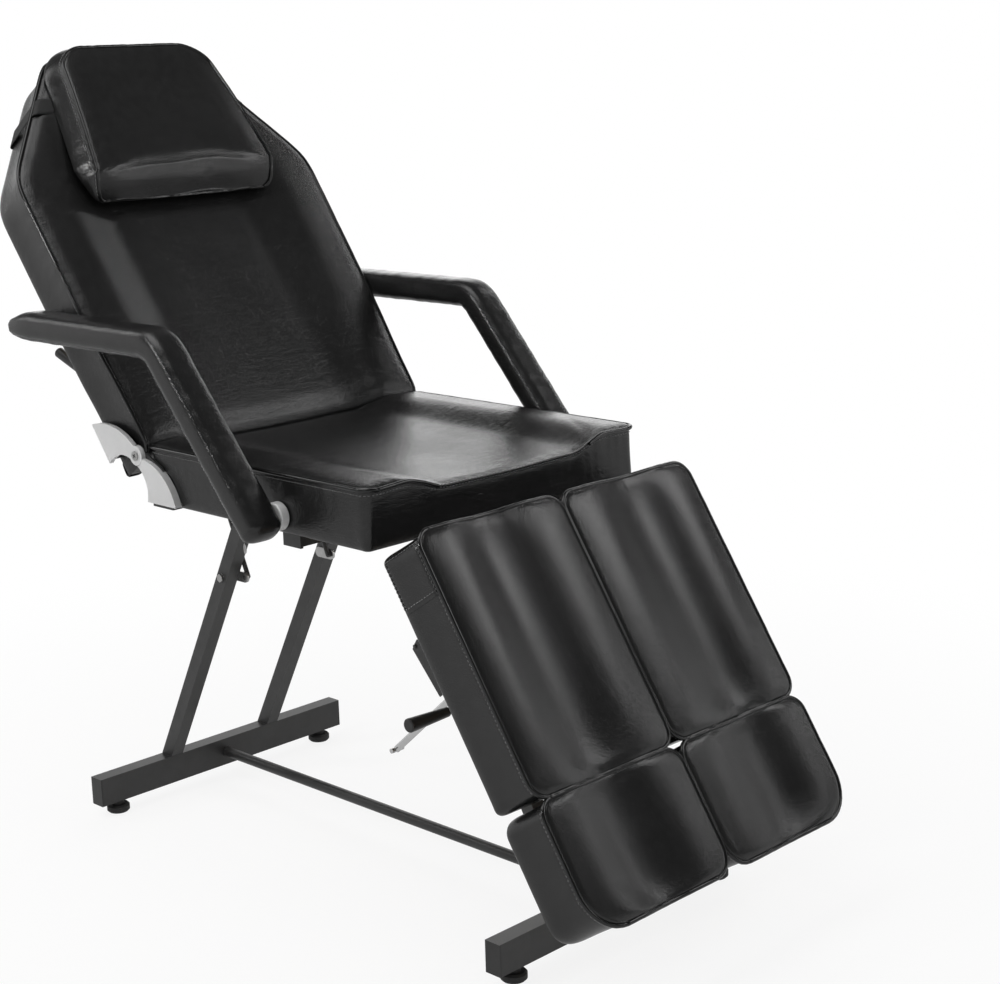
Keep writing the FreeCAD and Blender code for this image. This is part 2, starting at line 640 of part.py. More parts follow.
def seat_cross_rails():
    """Two tubes that join the side rails, one inside each pair of leg tops."""
    half = size("rail_size") / 2
    wall = size("rail_wall")
    rails = []
    inner = leg_half_spacing - half
    place = size("leg_top_spacing") / 2 - size("cross_rail_setback")
    for y in (-place, place):
        tube = block((-inner, inner), (y - half, y + half), (rail_low, size("seat_height")))
        bore = block((-inner - wall, inner + wall), (y - half + wall, y + half - wall),
                     (rail_low + wall, size("seat_height") - wall))
        rails.append(tube.cut(bore))
    return feature("seat_cross_rails", Part.makeCompound(rails))


def leg_hinge_pins():
    """One pin through the ears and the eye of each leg rest's hinge."""
    half = size("rail_size") / 2
    pins = []
    for sign in (-1, 1):
        x = sign * leg_half_spacing
        spare = size("hinge_ear_thickness") / 2
        pins.append(x_rod(size("hinge_pin_radius"), x - half - spare, x + half + spare,
                          leg_hinge.y, leg_hinge.z))
    return feature("leg_hinge_pins", Part.makeCompound(pins))


def arm_pocket(sign):
    """The room in the seat for the arm's post, its shaft and the shaft's end plate."""
    post_x = seat_half - size("arm_post_inset")
    gap = size("seat_gap")
    post_half = size("arm_post_width") / 2 + gap
    inner = post_x - size("arm_post_thickness") - size("bush_length")
    y, z = size("arm_pivot_y"), arm_pivot_height
    room = block((sign * (post_x + gap), sign * inner), (y - post_half, y + post_half),
                 (size("seat_height") - size("cut_overrun"), z))
    room = room.fuse(x_rod(post_half, sign * (post_x + gap), sign * inner, y, z))
    shaft = x_rod(size("arm_shaft_radius") + size("running_gap") + gap, sign * post_x,
                  sign * (seat_half + size("cut_overrun")), y, z)
    return room.fuse(shaft)


def seat_board():
    """The plywood base of the seat, slotted for the two arm posts."""
    width = "Sizes.seat_width - 2 * Sizes.board_margin"
    length = "Sizes.seat_length - 2 * Sizes.board_margin"
    body = flat_board("seat_board_blank", width, length, "Sizes.board_thickness")
    body.Placement = turned(0, size("seat_rear") - size("seat_length") / 2,
                            size("seat_height"))
    doc.recompute()
    shape = body.Shape.cut([arm_pocket(-1), arm_pocket(1)])
    return feature("seat_board", shape)


# Upholstered pads
CREST_SHARE = 0.10
CREST_MIDDLE_SHARE = 0.55
SLOPE_MIDDLE_SHARE = 0.30
CORNER_STEP_SHARES = (0.0, 0.12, 0.45, 1.0)
# Where the inner slope of a side roll starts and ends, across the pad's width
SEAT_SLOPE_SHARES = (0.17, 0.27)
BACK_SLOPE_SHARES = (0.18, 0.36)
LEG_SLOPE_SHARES = (0.24, 0.44)


def pad_section(y, left, right, low, high, crest, dip, draw, slope_shares):
    """The outline of a pad across its width: flat below, drawn in at the sides, with a
    roll along each edge and a hollow panel between them."""
    width = right - left
    slope_start, slope_end = slope_shares
    shoulder = high + crest * CREST_MIDDLE_SHARE
    floor = high - dip
    sag = floor + (shoulder - floor) * SLOPE_MIDDLE_SHARE
    centre = (low + high) / 2

    def at(share, z):
        return (left + width * share, y, z)

    def slope(start_share, end_share, start_z, end_z):
        return arc(at(start_share, start_z), at((start_share + end_share) / 2, sag),
                   at(end_share, end_z))

    edges = [Part.makeLine(Vector(left, y, low), Vector(right, y, low))]
    edges.append(arc((right, y, low), (right - draw, y, centre), (right, y, high)))
    edges.append(arc((right, y, high), at(1 - CREST_SHARE, high + crest),
                     at(1 - slope_start, shoulder)))
    edges.append(slope(1 - slope_start, 1 - slope_end, shoulder, floor))
    edges.append(Part.makeLine(Vector(*at(1 - slope_end, floor)),
                               Vector(*at(slope_end, floor))))
    edges.append(slope(slope_end, slope_start, floor, shoulder))
    edges.append(arc(at(slope_start, shoulder), at(CREST_SHARE, high + crest),
                     (left, y, high)))
    edges.append(arc((left, y, high), (left + draw, y, centre), (left, y, low)))
    return Part.Wire(edges)


def corner_inset(distance, radius):
    """How far a rounded corner is inside its edge at a distance from the pad's end."""
    if distance >= radius:
        return 0.0
    return radius - math.sqrt(max(radius ** 2 - (radius - distance) ** 2, 0.0))


def pad_form(stations, low, high, draw, dish_depth, slope_shares):
    """A pad lofted through stations of (y, left, right, crown, hollow), where the crown
    and hollow shares fade the rolls and the hollow towards the pad's ends."""
    crest = size("crest_height")
    wires = [pad_section(y, left, right, low, high, crest * crown, dish_depth * hollow, draw,
                         slope_shares)
             for y, left, right, crown, hollow in stations]
    return Part.makeLoft(wires, True, True)


CROWN_FADE_SHARES = (0.40, 0.62, 0.85, 1.0)
SOFT_END_SHARES = (0.45, 0.62, 0.85, 1.0)
SEAT_FRONT_SHARES = (0.90, 0.94, 0.98, 1.0)
SEAT_REAR_SHARES = (0.60, 0.62, 0.64, 0.66)


def straight_stations(start, end, left, right, start_radii, end_radii,
                      start_hollow_shares=SOFT_END_SHARES, end_hollow_shares=SOFT_END_SHARES):
    """Stations of a rectangular pad whose four corners are rounded in plan. Each pair
    of radii is for the left and the right corner."""
    direction = 1 if end > start else -1
    stations = []
    for origin, sense, radii, hollow_shares in (
            (start, direction, start_radii, start_hollow_shares),
            (end, -direction, end_radii, end_hollow_shares)):
        row = []
        for step, fade, hollow in zip(CORNER_STEP_SHARES, CROWN_FADE_SHARES, hollow_shares):
            distance = max(radii) * step
            row.append((origin + sense * distance,
                        left + corner_inset(distance, radii[0]),
                        right - corner_inset(distance, radii[1]), fade, hollow))
        stations += row if sense == direction else row[::-1]
    return stations


def seat_cushion():
    """The seat upholstery, open below for the board and round the arm posts."""
    radius = size("seat_corner_radius")
    stations = straight_stations(seat_front, size("seat_rear"), -seat_half, seat_half,
                                 (radius, radius), (radius, radius),
                                 SEAT_FRONT_SHARES, SEAT_REAR_SHARES)
    form = pad_form(stations, size("seat_height"), seat_top, size("side_draw_in"),
                    size("seat_dish_depth"), SEAT_SLOPE_SHARES)
    margin = size("board_margin")
    pocket = block((-seat_half + margin, seat_half - margin),
                   (seat_front + margin, size("seat_rear") - margin),
                   (size("seat_height") - size("cut_overrun"), board_top))
    return feature("seat_cushion", form.cut([pocket, arm_pocket(-1), arm_pocket(1)]))


# Hinge between seat and back
plate_inner = seat_half + size("hinge_plate_gap")
plate_step = size("hinge_plate_thickness") + size("hinge_plate_gap")
cover_face = plate_inner + 2 * plate_step + size("cover_wall") + size("hinge_plate_gap")


def hinge_bolt_hole(x_from, x_to):
    return x_rod(size("hinge_bolt_radius") + size("running_gap"), x_from, x_to)


PLATE_OUTER_SHARE = 0.82
PLATE_BEND_SHARE = 0.55


def hinge_plate_web(mirror, flange_low, x_in, x_out):
    """The upright part of a hinge plate, from its eye down to its foot."""
    boss = size("hinge_boss_radius")
    reach = size("cover_reach")
    inner = size("cover_inner_reach") + size("cover_wall") * 2
    waist = -size("cover_depth") * PLATE_BEND_SHARE
    points = [(0, boss), (reach * PLATE_BEND_SHARE, -boss),
              (reach * PLATE_OUTER_SHARE, waist), (reach * PLATE_OUTER_SHARE, flange_low),
              (inner, flange_low), (inner, waist), (boss / 2, -boss)]
    web = x_prism(polygon([(mirror * y, z) for y, z in points]), x_in, x_out)
    return web.fuse(x_rod(boss, x_in, x_out))


def hinge_plate(label, sign, layer, frame, mirror, flange_low):
    """A steel plate from the pivot to the end of its cover, with a foot turned in under
    the board. Its outline lies along mirror * Y from the pivot."""
    x_in = sign * (plate_inner + layer * plate_step)
    x_out = x_in + sign * size("hinge_plate_thickness")
    reach = size("cover_reach")
    inner = size("cover_inner_reach") + size("cover_wall") * 2
    web = hinge_plate_web(mirror, flange_low, x_in, x_out)
    foot = block((x_out, x_in - sign * size("hinge_flange_width")),
                 (mirror * inner, mirror * reach * PLATE_OUTER_SHARE),
                 (flange_low, flange_low + size("hinge_plate_thickness")))
    bore = hinge_bolt_hole(x_in - sign * reach, x_out + sign * reach)
    return feature(label, web.fuse(foot).cut(bore), frame)


BOSS_ANGLE = 20.0
HOLLOW_ANGLE = -12.0
ARCH_ANGLE = -80.0
BULGE_REACH_SHARE = 0.755
BULGE_DEPTH_SHARE = 0.43
ARCH_REACH_SHARE = 0.92
ARCH_DEPTH_SHARE = 0.55


def cover_outline(mirror, boss):
    """The hinge cover's edge: a bulging outer side, a straight end and an inner side
    hollowed like an arch. The boss is a full round end for the back's cover, and a
    hollow that clears that round end for the seat's cover."""
    radius = size("cover_boss_radius") + (0 if boss else 2 * size("seat_gap"))
    reach, inner, depth = size("cover_reach"), size("cover_inner_reach"), size("cover_depth")
    outer_angle = math.radians(BOSS_ANGLE if boss else HOLLOW_ANGLE)
    inner_angle = math.radians(ARCH_ANGLE)

    def on_boss(angle):
        return (0, mirror * radius * math.cos(angle), radius * math.sin(angle))

    outer_start, inner_start = on_boss(outer_angle), on_boss(inner_angle)
    outer_middle = (0, mirror * reach * BULGE_REACH_SHARE, -depth * BULGE_DEPTH_SHARE)
    outer_end = (0, mirror * reach, -depth)
    inner_end = (0, mirror * inner, -depth)
    inner_middle = (0, mirror * inner * ARCH_REACH_SHARE, -depth * ARCH_DEPTH_SHARE)
    middle_angle = (outer_angle + inner_angle) / 2 + (math.pi if boss else 0)
    return [arc(outer_start, outer_middle, outer_end),
            Part.makeLine(Vector(*outer_end), Vector(*inner_end)),
            arc(inner_end, inner_middle, inner_start),
            arc(inner_start, on_boss(middle_angle), outer_start)]


def hinge_cover(label, sign, frame, mirror, boss):
    """A moulded plastic cover: a thin shell, open towards the chair and at its end, with
    a notch in its rim where the steel hinge plate comes through."""
    layer = 1 if boss else 0
    wall = size("cover_wall")
    x_in = sign * (plate_inner + layer * plate_step - size("hinge_plate_gap") / 2)
    x_out = sign * cover_face
    x_floor = x_out - sign * wall
    outline = Part.Wire(cover_outline(mirror, boss))
    solid = x_prism(outline.Edges, x_in, x_out)
    inner = Part.Face(outline).makeOffset2D(-wall)
    hollow = x_prism(inner.OuterWire.Edges, x_in - sign * wall, x_floor)
    depth = size("cover_depth")
    mouth_inner = size("cover_inner_reach") + wall
    mouth_outer = size("cover_reach") - 2 * wall
    mouth = block((x_in - sign * wall, x_floor), (mirror * mouth_inner, mirror * mouth_outer),
                  (-depth - wall, -depth + 2 * wall))
    slot_in, slot_out = x_in - sign * wall, x_in + sign * size("hinge_plate_thickness")
    notch = hinge_plate_web(mirror, -depth - wall, slot_in,
                            slot_out + sign * size("hinge_plate_gap"))
    shape = solid.cut([hollow, mouth, notch])
    if boss:
        shape = shape.cut(hinge_bolt_hole(x_in - sign * wall, x_out + sign * wall))
    return feature(label, shape, frame)


seat_frame = turned(0, size("pivot_y"), pivot_height)


def hinge_bolts():
    """The two recline pivots, with a round washer head outside each back cover."""
    bolts = []
    head = cover_face + size("hinge_plate_gap") / 2
    for sign in (-1, 1):
        shank = x_rod(size("hinge_bolt_radius"), sign * (plate_inner + size("seat_gap")),
                      sign * head)
        cap = x_rod(size("hinge_bolt_head_radius"), sign * head,
                    sign * (head + size("bolt_head_height") / 2))
        bolts.append(shank.fuse(cap))
    return feature("hinge_bolts", Part.makeCompound(bolts), back_frame)


# Back
BACK_STATION_SHARES = ((0.0, seat_half, 0.5), (0.12, seat_half, 1.0),
                       (0.33, waist_half, 1.0), (0.64, shoulder_half, 1.0),
                       (0.665, shoulder_half, 1.0))
NECK_SHARE = 0.83
SHOULDER_ROUND_SHARE = 0.70
SHOULDER_ROUND_WIDTH_SHARE = 0.975
SHOULDER_CROWN_SHARE = 0.9
NECK_CROWN_SHARE = 0.7
HEAD_CROWN_SHARE = 0.55
LOWER_HOLLOW_SHARE = 1.2
HEAD_CORNER_ANGLES = (0.0, 30.0, 60.0, 90.0)
pillow_low = size("back_front") + size("crest_height") + size("pillow_seat_gap")


def back_outline():
    """Stations along the back: straight sides up to the shoulders, sloping in to the
    neck and head, with rounded corners at the head end."""
    start, length = size("back_start"), size("back_length")
    rows = [(start + length * share, half, crown)
            for share, half, crown in BACK_STATION_SHARES]
    rows.append((start + length * SHOULDER_ROUND_SHARE,
                 shoulder_half * SHOULDER_ROUND_WIDTH_SHARE, SHOULDER_CROWN_SHARE))
    rows.append((start + length * NECK_SHARE, size("back_neck_width") / 2, NECK_CROWN_SHARE))
    radius = size("head_corner_radius")
    head = size("back_head_width") / 2
    for angle in HEAD_CORNER_ANGLES:
        turn = math.radians(angle)
        rows.append((back_end - radius * (1 - math.sin(turn)),
                     head - radius * (1 - math.cos(turn)), HEAD_CROWN_SHARE))
    return rows


LOWER_ROLL_SHARES = (0.12, 0.50, 0.86)


def back_cushion():
    """The back upholstery: one long pad with a rounded roll at its hinged end."""
    stations = [(y, -half, half, crown, crown) for y, half, crown in back_outline()]
    first = stations[0]
    stations[0] = first[:-1] + (LOWER_HOLLOW_SHARE * first[-1],)
    front = size("back_front")
    form = pad_form(stations, back_behind, front, size("side_draw_in"),
                    size("back_dish_depth"), BACK_SLOPE_SHARES)
    start, roll = size("back_start"), size("back_roll")
    half = seat_half - size("side_draw_in")
    top, middle, bottom = [front - size("pad_thickness") * share
                           for share in LOWER_ROLL_SHARES]
    edge = Part.makeLine(Vector(0, start, bottom), Vector(0, start, top))
    bulge = x_prism([arc((0, start, top), (0, start - roll, middle), (0, start, bottom)), edge],
                    -half, half)
    form = form.fuse(bulge).removeSplitter()
    form = form.cut(back_board_form(size("cut_overrun")))
    return feature("back_cushion", form, back_frame)


def back_board_form(extra):
    """The back's plywood board: the pad's outline drawn in by the upholstery margin."""
    margin = size("board_margin")
    points = [(half - margin, y) for y, half, crown in back_outline()]
    first, last = points[0], points[-1]
    points[0] = (first[0], first[1] + margin)
    points[-1] = (last[0], last[1] - margin)
    points = [points[0]] + [p for p in points[1:-1] if p[1] < points[-1][1]] + [points[-1]]
    ring = points + [(-x, y) for x, y in reversed(points)]
    low = back_behind - extra
    corners = [Vector(x, y, low) for x, y in ring]
    face = Part.Face(Part.makePolygon(corners + corners[:1]))
    return face.extrude(Vector(0, 0, size("board_thickness") + extra))


# Shares of the pillow's height and of the spread of its sides
PILLOW_SOFT_SHARE = 0.30
PILLOW_CROWN_SHARE = 0.06
PILLOW_LIP_SHARE = 0.30
PILLOW_HEAD_SHARES = (0.50, 0.25)
PILLOW_FACET_CROWN_SHARE = 0.20
ROUND_INSET_SHARE = 1 - math.cos(math.pi / 4)


def pillow_section(y, low_half, top_half, low, high):
    """The pillow across its width: a flat underside, sides that slope in, soft top
    corners and a slightly crowned top."""
    soft = (high - low) * PILLOW_SOFT_SHARE
    crown = (high - low) * PILLOW_CROWN_SHARE
    start, end = (-low_half, y, low), (low_half, y, low)
    right = (top_half, y, high - soft)
    left = (-top_half, y, high - soft)
    right_top, left_top = (top_half - soft, y, high), (-top_half + soft, y, high)
    bend = soft * ROUND_INSET_SHARE
    return Part.Wire([
        Part.makeLine(Vector(*start), Vector(*end)),
        Part.makeLine(Vector(*end), Vector(*right)),
        arc(right, (top_half - bend, y, high - bend), right_top),
        arc(right_top, (0, y, high + crown), left_top),
        arc(left_top, (-top_half + bend, y, high - bend), left),
        Part.makeLine(Vector(*left), Vector(*start))])


def head_pillow():
    """The head pillow: wide and thin at its lower edge, full over its sloped front and
    narrower at the head end."""
    low = pillow_low
    high = size("back_front") + size("pillow_thickness")
    end = back_end - size("pillow_head_inset")
    start = end - size("pillow_length")
    facet = size("pillow_facet")
    head = size("pillow_head_width") / 2
    wide = size("pillow_low_width") / 2
    spread = wide - size("pillow_top_width") / 2
    head_low_share, head_top_share = PILLOW_HEAD_SHARES
    rows = ((start, wide, wide - spread / 2, low, low + (high - low) * PILLOW_LIP_SHARE),
            (start + facet, wide, size("pillow_top_width") / 2, low, high),
            (end - facet, head + spread, head, low, high + facet * PILLOW_FACET_CROWN_SHARE),
            (end, head + spread * head_low_share, head - spread * head_top_share, low, high))
    wires = [pillow_section(*row) for row in rows]
    return feature("head_pillow", Part.makeLoft(wires, True, True), back_frame)


def pillow_strap():
    """The elastic strap of the pillow: a closed band that lies round the head end of the
    back, under the pillow in front and behind the board at the rear."""
    place, width = back_end - size("strap_head_inset"), size("strap_width")
    slack, thick = size("strap_slack"), size("strap_thickness")
    rows = back_outline()
    points = [(half, y) for y, half, crown in rows]
    ring = points + [(-x, y) for x, y in reversed(points)]
    corners = [Vector(x, y, 0) for x, y in ring]
    outline = Part.Face(Part.makePolygon(corners + corners[:1]))
    low, high = back_behind - slack, pillow_low - slack
    outer = outline.makeOffset2D(slack + thick)
    inner = outline.makeOffset2D(slack)
    outer.translate(Vector(0, 0, low - thick))
    inner.translate(Vector(0, 0, low))
    outer = outer.extrude(Vector(0, 0, high - low + thick))
    inner = inner.extrude(Vector(0, 0, high - low - thick))
    reach = 2 * shoulder_half
    band = block((-reach, reach), (place - width / 2, place + width / 2),
                 (low - reach, high + reach))
    return feature("pillow_strap", outer.cut(inner).common(band), back_frame)


TOOTH_TIP_SHARE = 0.30
TOOTH_FLAT_SHARE = 0.45
TOOTH_HEEL_SHARE = 0.50
TOOTH_PITCH_IN_RODS = 4


def prop_rack(name, sign):
    """A toothed bar under the back board that the prop's bar drops into."""
    x = sign * size("rack_spacing") / 2
    half = size("rack_thickness") / 2
    start, length = size("rack_start"), size("rack_length")
    root = back_behind - size("rack_body")
    tip = root - size("rack_tooth")
    pitch = TOOTH_PITCH_IN_RODS * size("prop_rod_radius")
    count = int(length / pitch) - 1
    points = [(start, back_behind), (start, root)]
    first = start + (length - count * pitch) / 2
    for step in range(count):
        here = first + step * pitch
        points += [(here, root), (here + pitch * TOOTH_TIP_SHARE, tip),
                   (here + pitch * TOOTH_FLAT_SHARE, tip),
                   (here + pitch * TOOTH_HEEL_SHARE, root)]
    points += [(start + length, root), (start + length, back_behind)]
    bar = x_prism(polygon(points), x - half, x + half)
    hole = x_rod(size("release_shaft_radius") + size("running_gap"), x - 2 * half,
                 x + 2 * half, size("release_place"),
                 back_behind - size("rack_body") / 2)
    return feature(f"prop_rack_{name}", bar.cut(hole), back_frame)


RELEASE_BEND_IN_RADII = 3
GRIP_START_SHARE = 0.60
GRIP_NECK_SHARE = 0.75
GRIP_ROUND_SHARE = 0.30


def release_lever():
    """The shaft that turns in both racks behind the back board, with a bent arm at the
    right side for the grip."""
    z = back_behind - size("rack_body") / 2
    y = size("release_place")
    half = seat_half - size("hinge_flange_width") / 2
    shaft_end = size("rack_spacing") / 2 + size("rack_thickness") * 2
    angle = math.radians(size("release_grip_angle"))
    direction = Vector(0, math.cos(angle), -math.sin(angle))
    corner = Vector(-half, y, z)
    path = bent_path([Vector(shaft_end, y, z), corner,
                      corner + direction * size("release_arm_length")],
                     size("release_shaft_radius") * RELEASE_BEND_IN_RADII)
    rod = pipe(path, size("release_shaft_radius"))
    return feature("back_release_lever", rod, back_frame)


def release_grip():
    """The black hand grip on the release lever."""
    z = back_behind - size("rack_body") / 2
    y = size("release_place")
    half = seat_half - size("hinge_flange_width") / 2
    angle = math.radians(size("release_grip_angle"))
    direction = Vector(0, math.cos(angle), -math.sin(angle))
    arm = size("release_arm_length")
    start = Vector(-half, y, z) + direction * arm * GRIP_START_SHARE
    radius = size("release_grip_radius")
    grip = Part.makeCone(radius * GRIP_NECK_SHARE, radius, size("release_grip_length"), start,
                         direction)
    hole = Part.makeCylinder(size("release_shaft_radius"), arm * (1 - GRIP_START_SHARE), start,
                             direction)
    rim = [edge for edge in grip.Edges if edge.Closed]
    grip = grip.makeFillet(radius * GRIP_ROUND_SHARE, rim)
    return feature("back_release_grip", grip.cut(hole), back_frame)


# Prop behind the back
prop_pivot = Vector(0, leg_line(prop_pivot_height) - size("prop_pivot_ahead"),
                    prop_pivot_height)


def prop_bar_point():
    """Where the prop's top bar is, just behind the rack teeth."""
    depth = (back_behind - size("rack_body") - size("rack_tooth") - size("prop_bar_gap")
             - size("prop_rod_radius"))
    return back_frame.multVec(Vector(0, size("prop_bar_place"), depth))


def back_prop():
    """A bent rod: two feet in the tabs on the rear legs, two sides, and the bar that
    lies behind the racks."""
    top = prop_bar_point()
    inner = leg_half_spacing - size("leg_width") / 2 - size("hinge_ear_thickness")
    side = inner - size("prop_rod_radius") - 2 * size("running_gap")
    radius = size("prop_rod_radius")
    bend = size("prop_bend_radius")
    bar = bent_path([Vector(-side, prop_pivot.y, prop_pivot.z), Vector(-side, top.y, top.z),
                     Vector(side, top.y, top.z), Vector(side, prop_pivot.y, prop_pivot.z)],
                    bend)
    rod = pipe(bar, radius)
    foot_end = inner + size("hinge_ear_thickness")
    feet = []
    for sign in (-1, 1):
        foot = x_rod(radius, sign * side, sign * foot_end, prop_pivot.y, prop_pivot.z)
        ball = Part.makeSphere(radius, Vector(sign * side, prop_pivot.y, prop_pivot.z))
        feet += [foot, ball]
    return feature("back_prop", rod.fuse(feet))


# Arms
arm_inner = seat_half + size("bush_length") + 2 * size("seat_gap")
arm_centre = arm_inner + size("arm_width") / 2
arm_pivot = Vector(0, size("arm_pivot_y"), arm_pivot_height)


def arm_points(foot, tip):
    """The arm's centre line: from below the pivot up to the bend and back to the tip."""
    bend = Vector(0, size("arm_run"), size("arm_rise"))
    along = Vector(bend).normalize()
    rear = bend + Vector(0, size("arm_rest_length") - tip, 0)
    return [along * -foot, bend, rear]


SHAFT_PLATE_SHARE = 1.4


def arm_tube(name, sign):
    """The steel tube inside an arm, bent once, with the pivot shaft at its lower end."""
    x = sign * arm_centre
    tube_end = size("arm_foot") / 2
    points = [Vector(x, p.y, p.z) for p in arm_points(tube_end, size("arm_foot"))]
    path = bent_path(points, size("arm_bend_radius"))
    outer = pipe(path, size("arm_tube_radius"))
    bore = pipe(path, size("arm_tube_radius") - size("arm_tube_wall"))
    post_x = seat_half - size("arm_post_inset")
    end_x = sign * (post_x - size("arm_post_thickness") - size("seat_gap"))
    shaft = x_rod(size("arm_shaft_radius"), x, end_x)
    plate = x_rod(size("arm_shaft_radius") * SHAFT_PLATE_SHARE, end_x,
                  end_x - sign * size("arm_post_thickness"))
    shape = outer.cut(bore).fuse([shaft, plate])
    placed = Placement(arm_pivot, Rotation())
    return feature(f"arm_tube_{name}", shape, placed)


MOST_CORNER_SHARE = 0.90


def arm_section(centre, along, width, thickness, corner):
    """A rounded rectangle square to the arm's centre line."""
    up = X_AXIS.cross(along).normalize()
    half_w, half_t = width / 2, thickness / 2
    corner = min(corner, half_w * MOST_CORNER_SHARE, half_t * MOST_CORNER_SHARE)
    flat_w, flat_t = half_w - corner, half_t - corner
    slant = corner * math.cos(math.pi / 4)

    def point(x, t):
        return centre + X_AXIS * x + up * t

    edges = []
    for sx, st in ((1, -1), (1, 1), (-1, 1), (-1, -1)):
        first = point(sx * flat_w, st * half_t)
        second = point(sx * half_w, st * flat_t)
        middle = point(sx * (flat_w + slant), st * (flat_t + slant))
        if sx * st < 0:
            edges.append((first, middle, second))
        else:
            edges.append((second, middle, first))
    wire = []
    for here, there in zip(edges, edges[1:] + edges[:1]):
        wire.append(Part.Arc(*here).toShape())
        wire.append(Part.makeLine(here[2], there[0]))
    return Part.Wire(wire)


END_ROUND_SHARES = ((0.0, 0.55), (0.08, 0.74), (0.25, 0.90), (0.55, 1.0))
BEND_STEPS = 5


def arm_pad(name, sign):
    """The padded sleeve of an arm, rounded at both ends and bent with its tube."""
    x = sign * arm_centre
    width, thickness = size("arm_width"), size("arm_thickness")
    corner = size("arm_corner_radius")
    points = [Vector(x, p.y, p.z) for p in arm_points(size("arm_foot"), 0.0)]
    path = bent_path(points, size("arm_bend_radius"))
    lower, bend, upper = path.Edges
    rows = []

    def add(edge, share, grow=1):
        first, last = edge.FirstParameter, edge.LastParameter
        where = first + (last - first) * share
        rows.append((edge.valueAt(where), edge.tangentAt(where), grow))

    for share, grow in END_ROUND_SHARES:
        add(lower, share * thickness / lower.Length, grow)
    add(lower, 1)
    for step in range(1, BEND_STEPS + 1):
        add(bend, step / BEND_STEPS)
    for share, grow in reversed(END_ROUND_SHARES):
        add(upper, 1 - share * thickness / upper.Length, grow)
    wires = [arm_section(centre, along, width * grow, thickness * grow, corner * grow)
             for centre, along, grow in rows]
    form = Part.makeLoft(wires, True, True)
    tube_points = [Vector(x, p.y, p.z) for p in arm_points(size("arm_foot") / 2,
                                                           size("arm_foot"))]
    hole = pipe(bent_path(tube_points, size("arm_bend_radius")),
                size("arm_tube_radius") + size("running_gap"))
    shaft_hole = x_rod(size("arm_shaft_radius") + size("running_gap"), x,
                       sign * (arm_inner - size("cut_overrun")))
    return feature(f"arm_pad_{name}", form.cut([hole, shaft_hole]),
                   Placement(arm_pivot, Rotation()))


def arm_bushes():
    """The two silver bushes between the seat's sides and the arms."""
    bushes = []
    for sign in (-1, 1):
        near = sign * (seat_half + size("seat_gap"))
        far = sign * (seat_half + size("seat_gap") + size("bush_length"))
        ring = x_rod(size("bush_radius"), near, far)
        rims = [edge for edge in ring.Edges if edge.Closed]
        ring = ring.makeFillet(size("bush_edge_round"), rims)
        bushes.append(ring.cut(x_rod(size("arm_shaft_radius") + size("running_gap"),
                                     near - sign * size("cut_overrun"),
                                     far + sign * size("cut_overrun"))))
    return feature("arm_bushes", Part.makeCompound(bushes), Placement(arm_pivot, Rotation()))


# Leg rests, drawn flat in the leg frame and hung at their drop angle
pad_low = size("leg_pad_lift")
pad_high = pad_low + size("pad_thickness")
leg_board_top = pad_low + size("board_thickness")
slide_height = (leg_board_top + size("slide_rod_radius") + size("slide_tube_wall")
                + size("seat_gap"))
leg_end = -size("leg_pad_start") - size("leg_pad_length")
foot_start = leg_end - size("foot_pad_gap")
foot_end = foot_start - size("foot_pad_length")
lock_x = (leg_face + size("lock_leg_gap") + size("lock_plate_thickness")
          + size("lock_inner_width") / 2)
lock_eye = Vector(0, -size("lock_eye_reach"), size("lock_eye_lift"))
slide_tube_radius = size("slide_rod_radius") + size("running_gap") + size("slide_tube_wall")


def pad_edges(sign):
    """Left and right edges of one leg rest, lowest X first."""
    inner, outer = sign * size("leg_pad_gap") / 2, sign * seat_half
    return min(inner, outer), max(inner, outer)


def rod_places(sign):
    return [sign * pad_centre + side * size("slide_rod_spacing") / 2 for side in (-1, 1)]


def lock_recess(sign):
    """The room in a leg pad for the clevis, the rod's eye with its play on the clevis
    pin, and the swing of the lock rod below it."""
    play = size("lock_eye_bore") - size("clevis_pin_radius") + size("seat_gap")
    half = size("clevis_width") / 2 + 4 * size("seat_gap")
    ahead = lock_eye.y - size("lock_eye_radius") - play
    behind = lock_eye.y + 2 * size("lock_eye_radius") + size("lock_rod_radius") + play
    return block((sign * lock_x - half, sign * lock_x + half), (ahead, behind),
                 (pad_low - size("cut_overrun"), lock_eye.z + size("lock_eye_radius") + play))


def guide_bridge(sign):
    """The flat bar that ties the two guide tubes of a leg pad to its board."""
    middle = leg_end + size("slide_tube_length") / 2
    half = size("rail_size")
    return block(rod_places(sign), (middle - half, middle + half),
                 (leg_board_top, slide_height))


def leg_board(name, sign):
    """The plywood base of an upper leg pad, cut out over the clevis."""
    width = "Sizes.seat_width / 2 - Sizes.leg_pad_gap / 2 - 2 * Sizes.board_margin"
    length = "Sizes.leg_pad_length - 2 * Sizes.board_margin"
    body = flat_board(f"leg_board_blank_{name}", width, length, "Sizes.board_thickness")
    middle = -size("leg_pad_start") - size("leg_pad_length") / 2
    body.Placement = turned(sign * pad_centre, middle, pad_low)
    doc.recompute()
    return feature(f"leg_board_{name}", body.Shape.cut(lock_recess(sign)), leg_frame)


